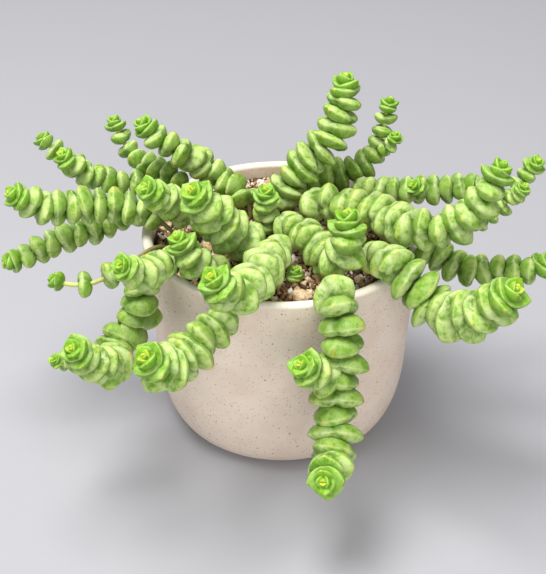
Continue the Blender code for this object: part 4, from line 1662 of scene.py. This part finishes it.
@dataclass
class Bed:
    """The soil that fills the pot, with its gravel."""

    clearance: float = 0.4
    # How high the soil's waves are, and how closely they lie
    rise: float = 1.26
    wave: float = 0.16
    rings: int = 44
    segments: int = 120
    # How far scattered stones keep from a stalk's middle, and what share of their largest radius is added
    stalk_clearance: float = 2.3
    stone_share: float = 0.5
    # The grid that the stones are scattered on: its steps, and how far it lies above the soil
    grid: int = 90
    seat: float = 0.35
    stone_forms: int = 10
    stone_corners: tuple[int, int] = (12, 18)
    stone_reach: tuple[float, float] = (0.88, 1.08)
    stone_squash: tuple[tuple[float, float], ...] = ((0.8, 1.15), (0.7, 1.0), (0.6, 0.85))
    layers: tuple[tuple[str, Layer], ...] = (
        ("grit", Layer(1.5, 0.6, 1.1, 1)), ("gravel", Layer(2.9, 1.3, 2.5, 2)))
    large: LargeStones = LargeStones()
    earth: EarthFinish = EarthFinish()
    grit: StoneFinish = StoneFinish("grit")

    def roots(self) -> list[tuple[float, float]]:
        """Where the stems enter the soil."""
        return [stem.route[0][:2] for stem in STEMS.values() if not stem.parent]

    def surface(self, x: float, y: float) -> float:
        """The soil's height at a point."""
        return SOIL_LEVEL + self.rise * noise.noise(Vector((x, y, 0)) * self.wave)

    def earth_mesh(self, pot: Pot) -> bpy.types.Mesh:
        """The closed body of the soil.

        Args:
            pot: the pot that it fills.

        Returns:
            The mesh.
        """
        profile = pot.bowl(SOIL_LEVEL, self.clearance)
        verts = [(0.0, 0.0, self.surface(0, 0) * MM)]
        rows = [(profile[0][0] * (ring + 1) / self.rings, None) for ring in range(self.rings)]
        rows += profile[1:]
        for radius, height in rows:
            for around in full_turn(self.segments):
                x, y = radius * math.cos(around), radius * math.sin(around)
                verts.append((x * MM, y * MM, (self.surface(x, y) if height is None else height) * MM))
        middle = [(0, 1 + k, 1 + (k + 1) % self.segments) for k in range(self.segments)]
        end = tuple(range(len(verts) - self.segments, len(verts)))
        mesh = mesh_of("earth", verts, [*middle, *ring_faces(len(rows), self.segments, 1), end])
        outward(mesh)
        return mesh

    def seed_bed(self, radius: float, clearance: float) -> bpy.types.Object:
        """A helper grid that the stones are scattered on, closed to them near stalks and large stones.

        Args:
            radius: how far it reaches from the middle.
            clearance: how far it keeps from each stalk.

        Returns:
            The helper object.
        """
        step = 2 * radius / self.grid
        verts, faces, free = [], [], []
        for row in range(self.grid + 1):
            for column in range(self.grid + 1):
                x, y = column * step - radius, row * step - radius
                verts.append((x * MM, y * MM, (self.surface(x, y) + self.seat) * MM))
                clear = math.hypot(x, y) < radius
                clear = clear and all(math.dist((x, y), root) > clearance for root in self.roots())
                for stone_x, stone_y, stone_radius, _ in self.large.places:
                    clear = clear and math.dist((x, y), (stone_x, stone_y)) > stone_radius
                free.append(1.0 if clear else 0.0)
        for row in range(self.grid):
            for column in range(self.grid):
                low = row * (self.grid + 1) + column
                faces.append((low, low + 1, low + self.grid + 2, low + self.grid + 1))
        mesh = mesh_of("seed_bed", verts, faces)
        store(mesh, "open", Kind.NUMBER, free)
        return link(bpy.data.objects.new("seed_bed", mesh))

    def stone_mesh(self, name: str, rng: random.Random) -> bpy.types.Mesh:
        """An angular stone: the hull of a few points on a squashed ball of radius 1.

        Args:
            name: the mesh's name.
            rng: random numbers.

        Returns:
            The mesh.
        """
        corners = rng.randrange(*self.stone_corners)
        bm = bmesh.new()
        squash = [rng.uniform(*limits) for limits in self.stone_squash]
        for _ in range(corners):
            way = Vector((rng.gauss(0, 1), rng.gauss(0, 1), rng.gauss(0, 1))).normalized()
            way *= rng.uniform(*self.stone_reach)
            bm.verts.new([part * share for part, share in zip(way, squash)])
        bmesh.ops.convex_hull(bm, input=bm.verts[:])
        bmesh.ops.delete(bm, geom=[vert for vert in bm.verts if not vert.link_faces], context="VERTS")
        bmesh.ops.recalc_face_normals(bm, faces=bm.faces[:])
        mesh = bpy.data.meshes.new(name)
        bm.to_mesh(mesh)
        bm.free()
        return mesh

    def build(self, pot: Pot) -> None:
        """Builds the soil and its stones in place of the plain node.

        Args:
            pot: the pot that holds them.
        """
        earth = link(bpy.data.objects.new("earth", self.earth_mesh(pot)))
        earth.data.materials.append(self.earth.material())
        hand_over(earth, ["soil"])
        rng = random.Random(LOOKS_SEED + 1)
        forms = FormSet("stone_forms")
        for index in range(self.stone_forms):
            forms.add(self.stone_mesh(f"stone_{index:02d}", rng))
        scatter = StoneScatter()
        material = self.grit.material()
        inside = pot.side_radius(SOIL_LEVEL) - pot.wall
        for name, layer in self.layers:
            clearance = self.stalk_clearance + self.stone_share * layer.largest
            bed = self.seed_bed(inside - layer.largest, clearance)
            bed.name = name
            piece = scatter.run(bed, {
                "Stones": forms.collection, "Material": material, "Spacing": layer.spacing * MM,
                "Smallest": layer.smallest * MM, "Largest": layer.largest * MM, "Seed": layer.seed})
            hand_over(piece, ["soil"])
        forms.clear()
        self.large.build()


@dataclass(frozen=True)
class Lamp:
    """A soft round lamp that points at the plant."""

    name: str
    place: Point
    size: float
    power: float
    colour: tuple[float, float, float]

    def build(self, target: Vector) -> None:
        """Places the lamp.

        Args:
            target: where it points, in metres.
        """
        light = bpy.data.lights.new(self.name, "AREA")
        light.shape = "DISK"
        light.size = self.size
        light.energy = self.power
        light.color = self.colour
        lamp = link(bpy.data.objects.new(self.name, light))
        lamp.location = self.place
        lamp.rotation_euler = (target - lamp.location).to_track_quat("-Z", "Y").to_euler()


@dataclass
class Studio:
    """The plain floor, the soft light and the camera."""

    target: Point = (-0.0038, 0.0, 0.0615)
    distance: float = 0.700
    elevation: float = 33.4
    # The photograph's focal length and its long side, in pixels, then the camera's sensor in millimetres
    focal_pixels: float = 1599.0
    long_side: float = 574.0
    sensor: float = 36.0
    nearest: float = 0.01
    floor_side: float = 6.0
    ambient: float = 0.42
    ambient_colour: tuple[float, float, float] = (0.97, 0.98, 1.0)
    lamps: tuple[Lamp, ...] = (
        Lamp("key", (-0.24, -0.05, 1.10), 0.70, 16.2, (1.0, 0.985, 0.955)),
        Lamp("front", (0.20, -1.30, 0.50), 0.9, 8.5, (1.0, 0.99, 0.97)),
    )

    def build_camera(self) -> None:
        """The camera at the photograph's viewing angle."""
        data = bpy.data.cameras.new("camera")
        data.sensor_fit = "AUTO"
        data.sensor_width = self.sensor
        data.lens = self.focal_pixels / self.long_side * self.sensor
        data.clip_start = self.nearest
        camera = link(bpy.data.objects.new("camera", data))
        rise = math.radians(self.elevation)
        back = Vector((0, -math.cos(rise), math.sin(rise)))
        camera.location = Vector(self.target) + back * self.distance
        camera.rotation_euler = Euler((math.radians(90 - self.elevation), 0, 0))
        bpy.context.scene.camera = camera

    def build(self) -> None:
        """Builds the floor, the lamps, the ambient light and the camera."""
        half = self.floor_side / 2
        corners = [(-half, -half, 0), (half, -half, 0), (half, half, 0), (-half, half, 0)]
        mesh = mesh_of("floor", corners, [(0, 1, 2, 3)], smooth=False)
        floor = link(bpy.data.objects.new("floor", mesh))
        floor.data.materials.append(FloorFinish().material())
        for lamp in self.lamps:
            lamp.build(Vector(self.target))
        world = bpy.data.worlds.new("studio")
        world.use_nodes = True
        surround = world.node_tree.nodes["Background"]
        surround.inputs["Color"].default_value = (*self.ambient_colour, 1.0)
        surround.inputs["Strength"].default_value = self.ambient
        scene = bpy.context.scene
        scene.world = world
        scene.view_settings.view_transform = "Standard"
        self.build_camera()


def main() -> None:
    """Builds the studio, the pot, its soil and the plant."""
    logging.basicConfig(level=logging.INFO, format="%(name)s %(message)s")
    Studio().build()
    pot = Pot()
    pot.build()
    Bed().build(pot)
    Plant().build()


if __name__ == "__main__":
    main()
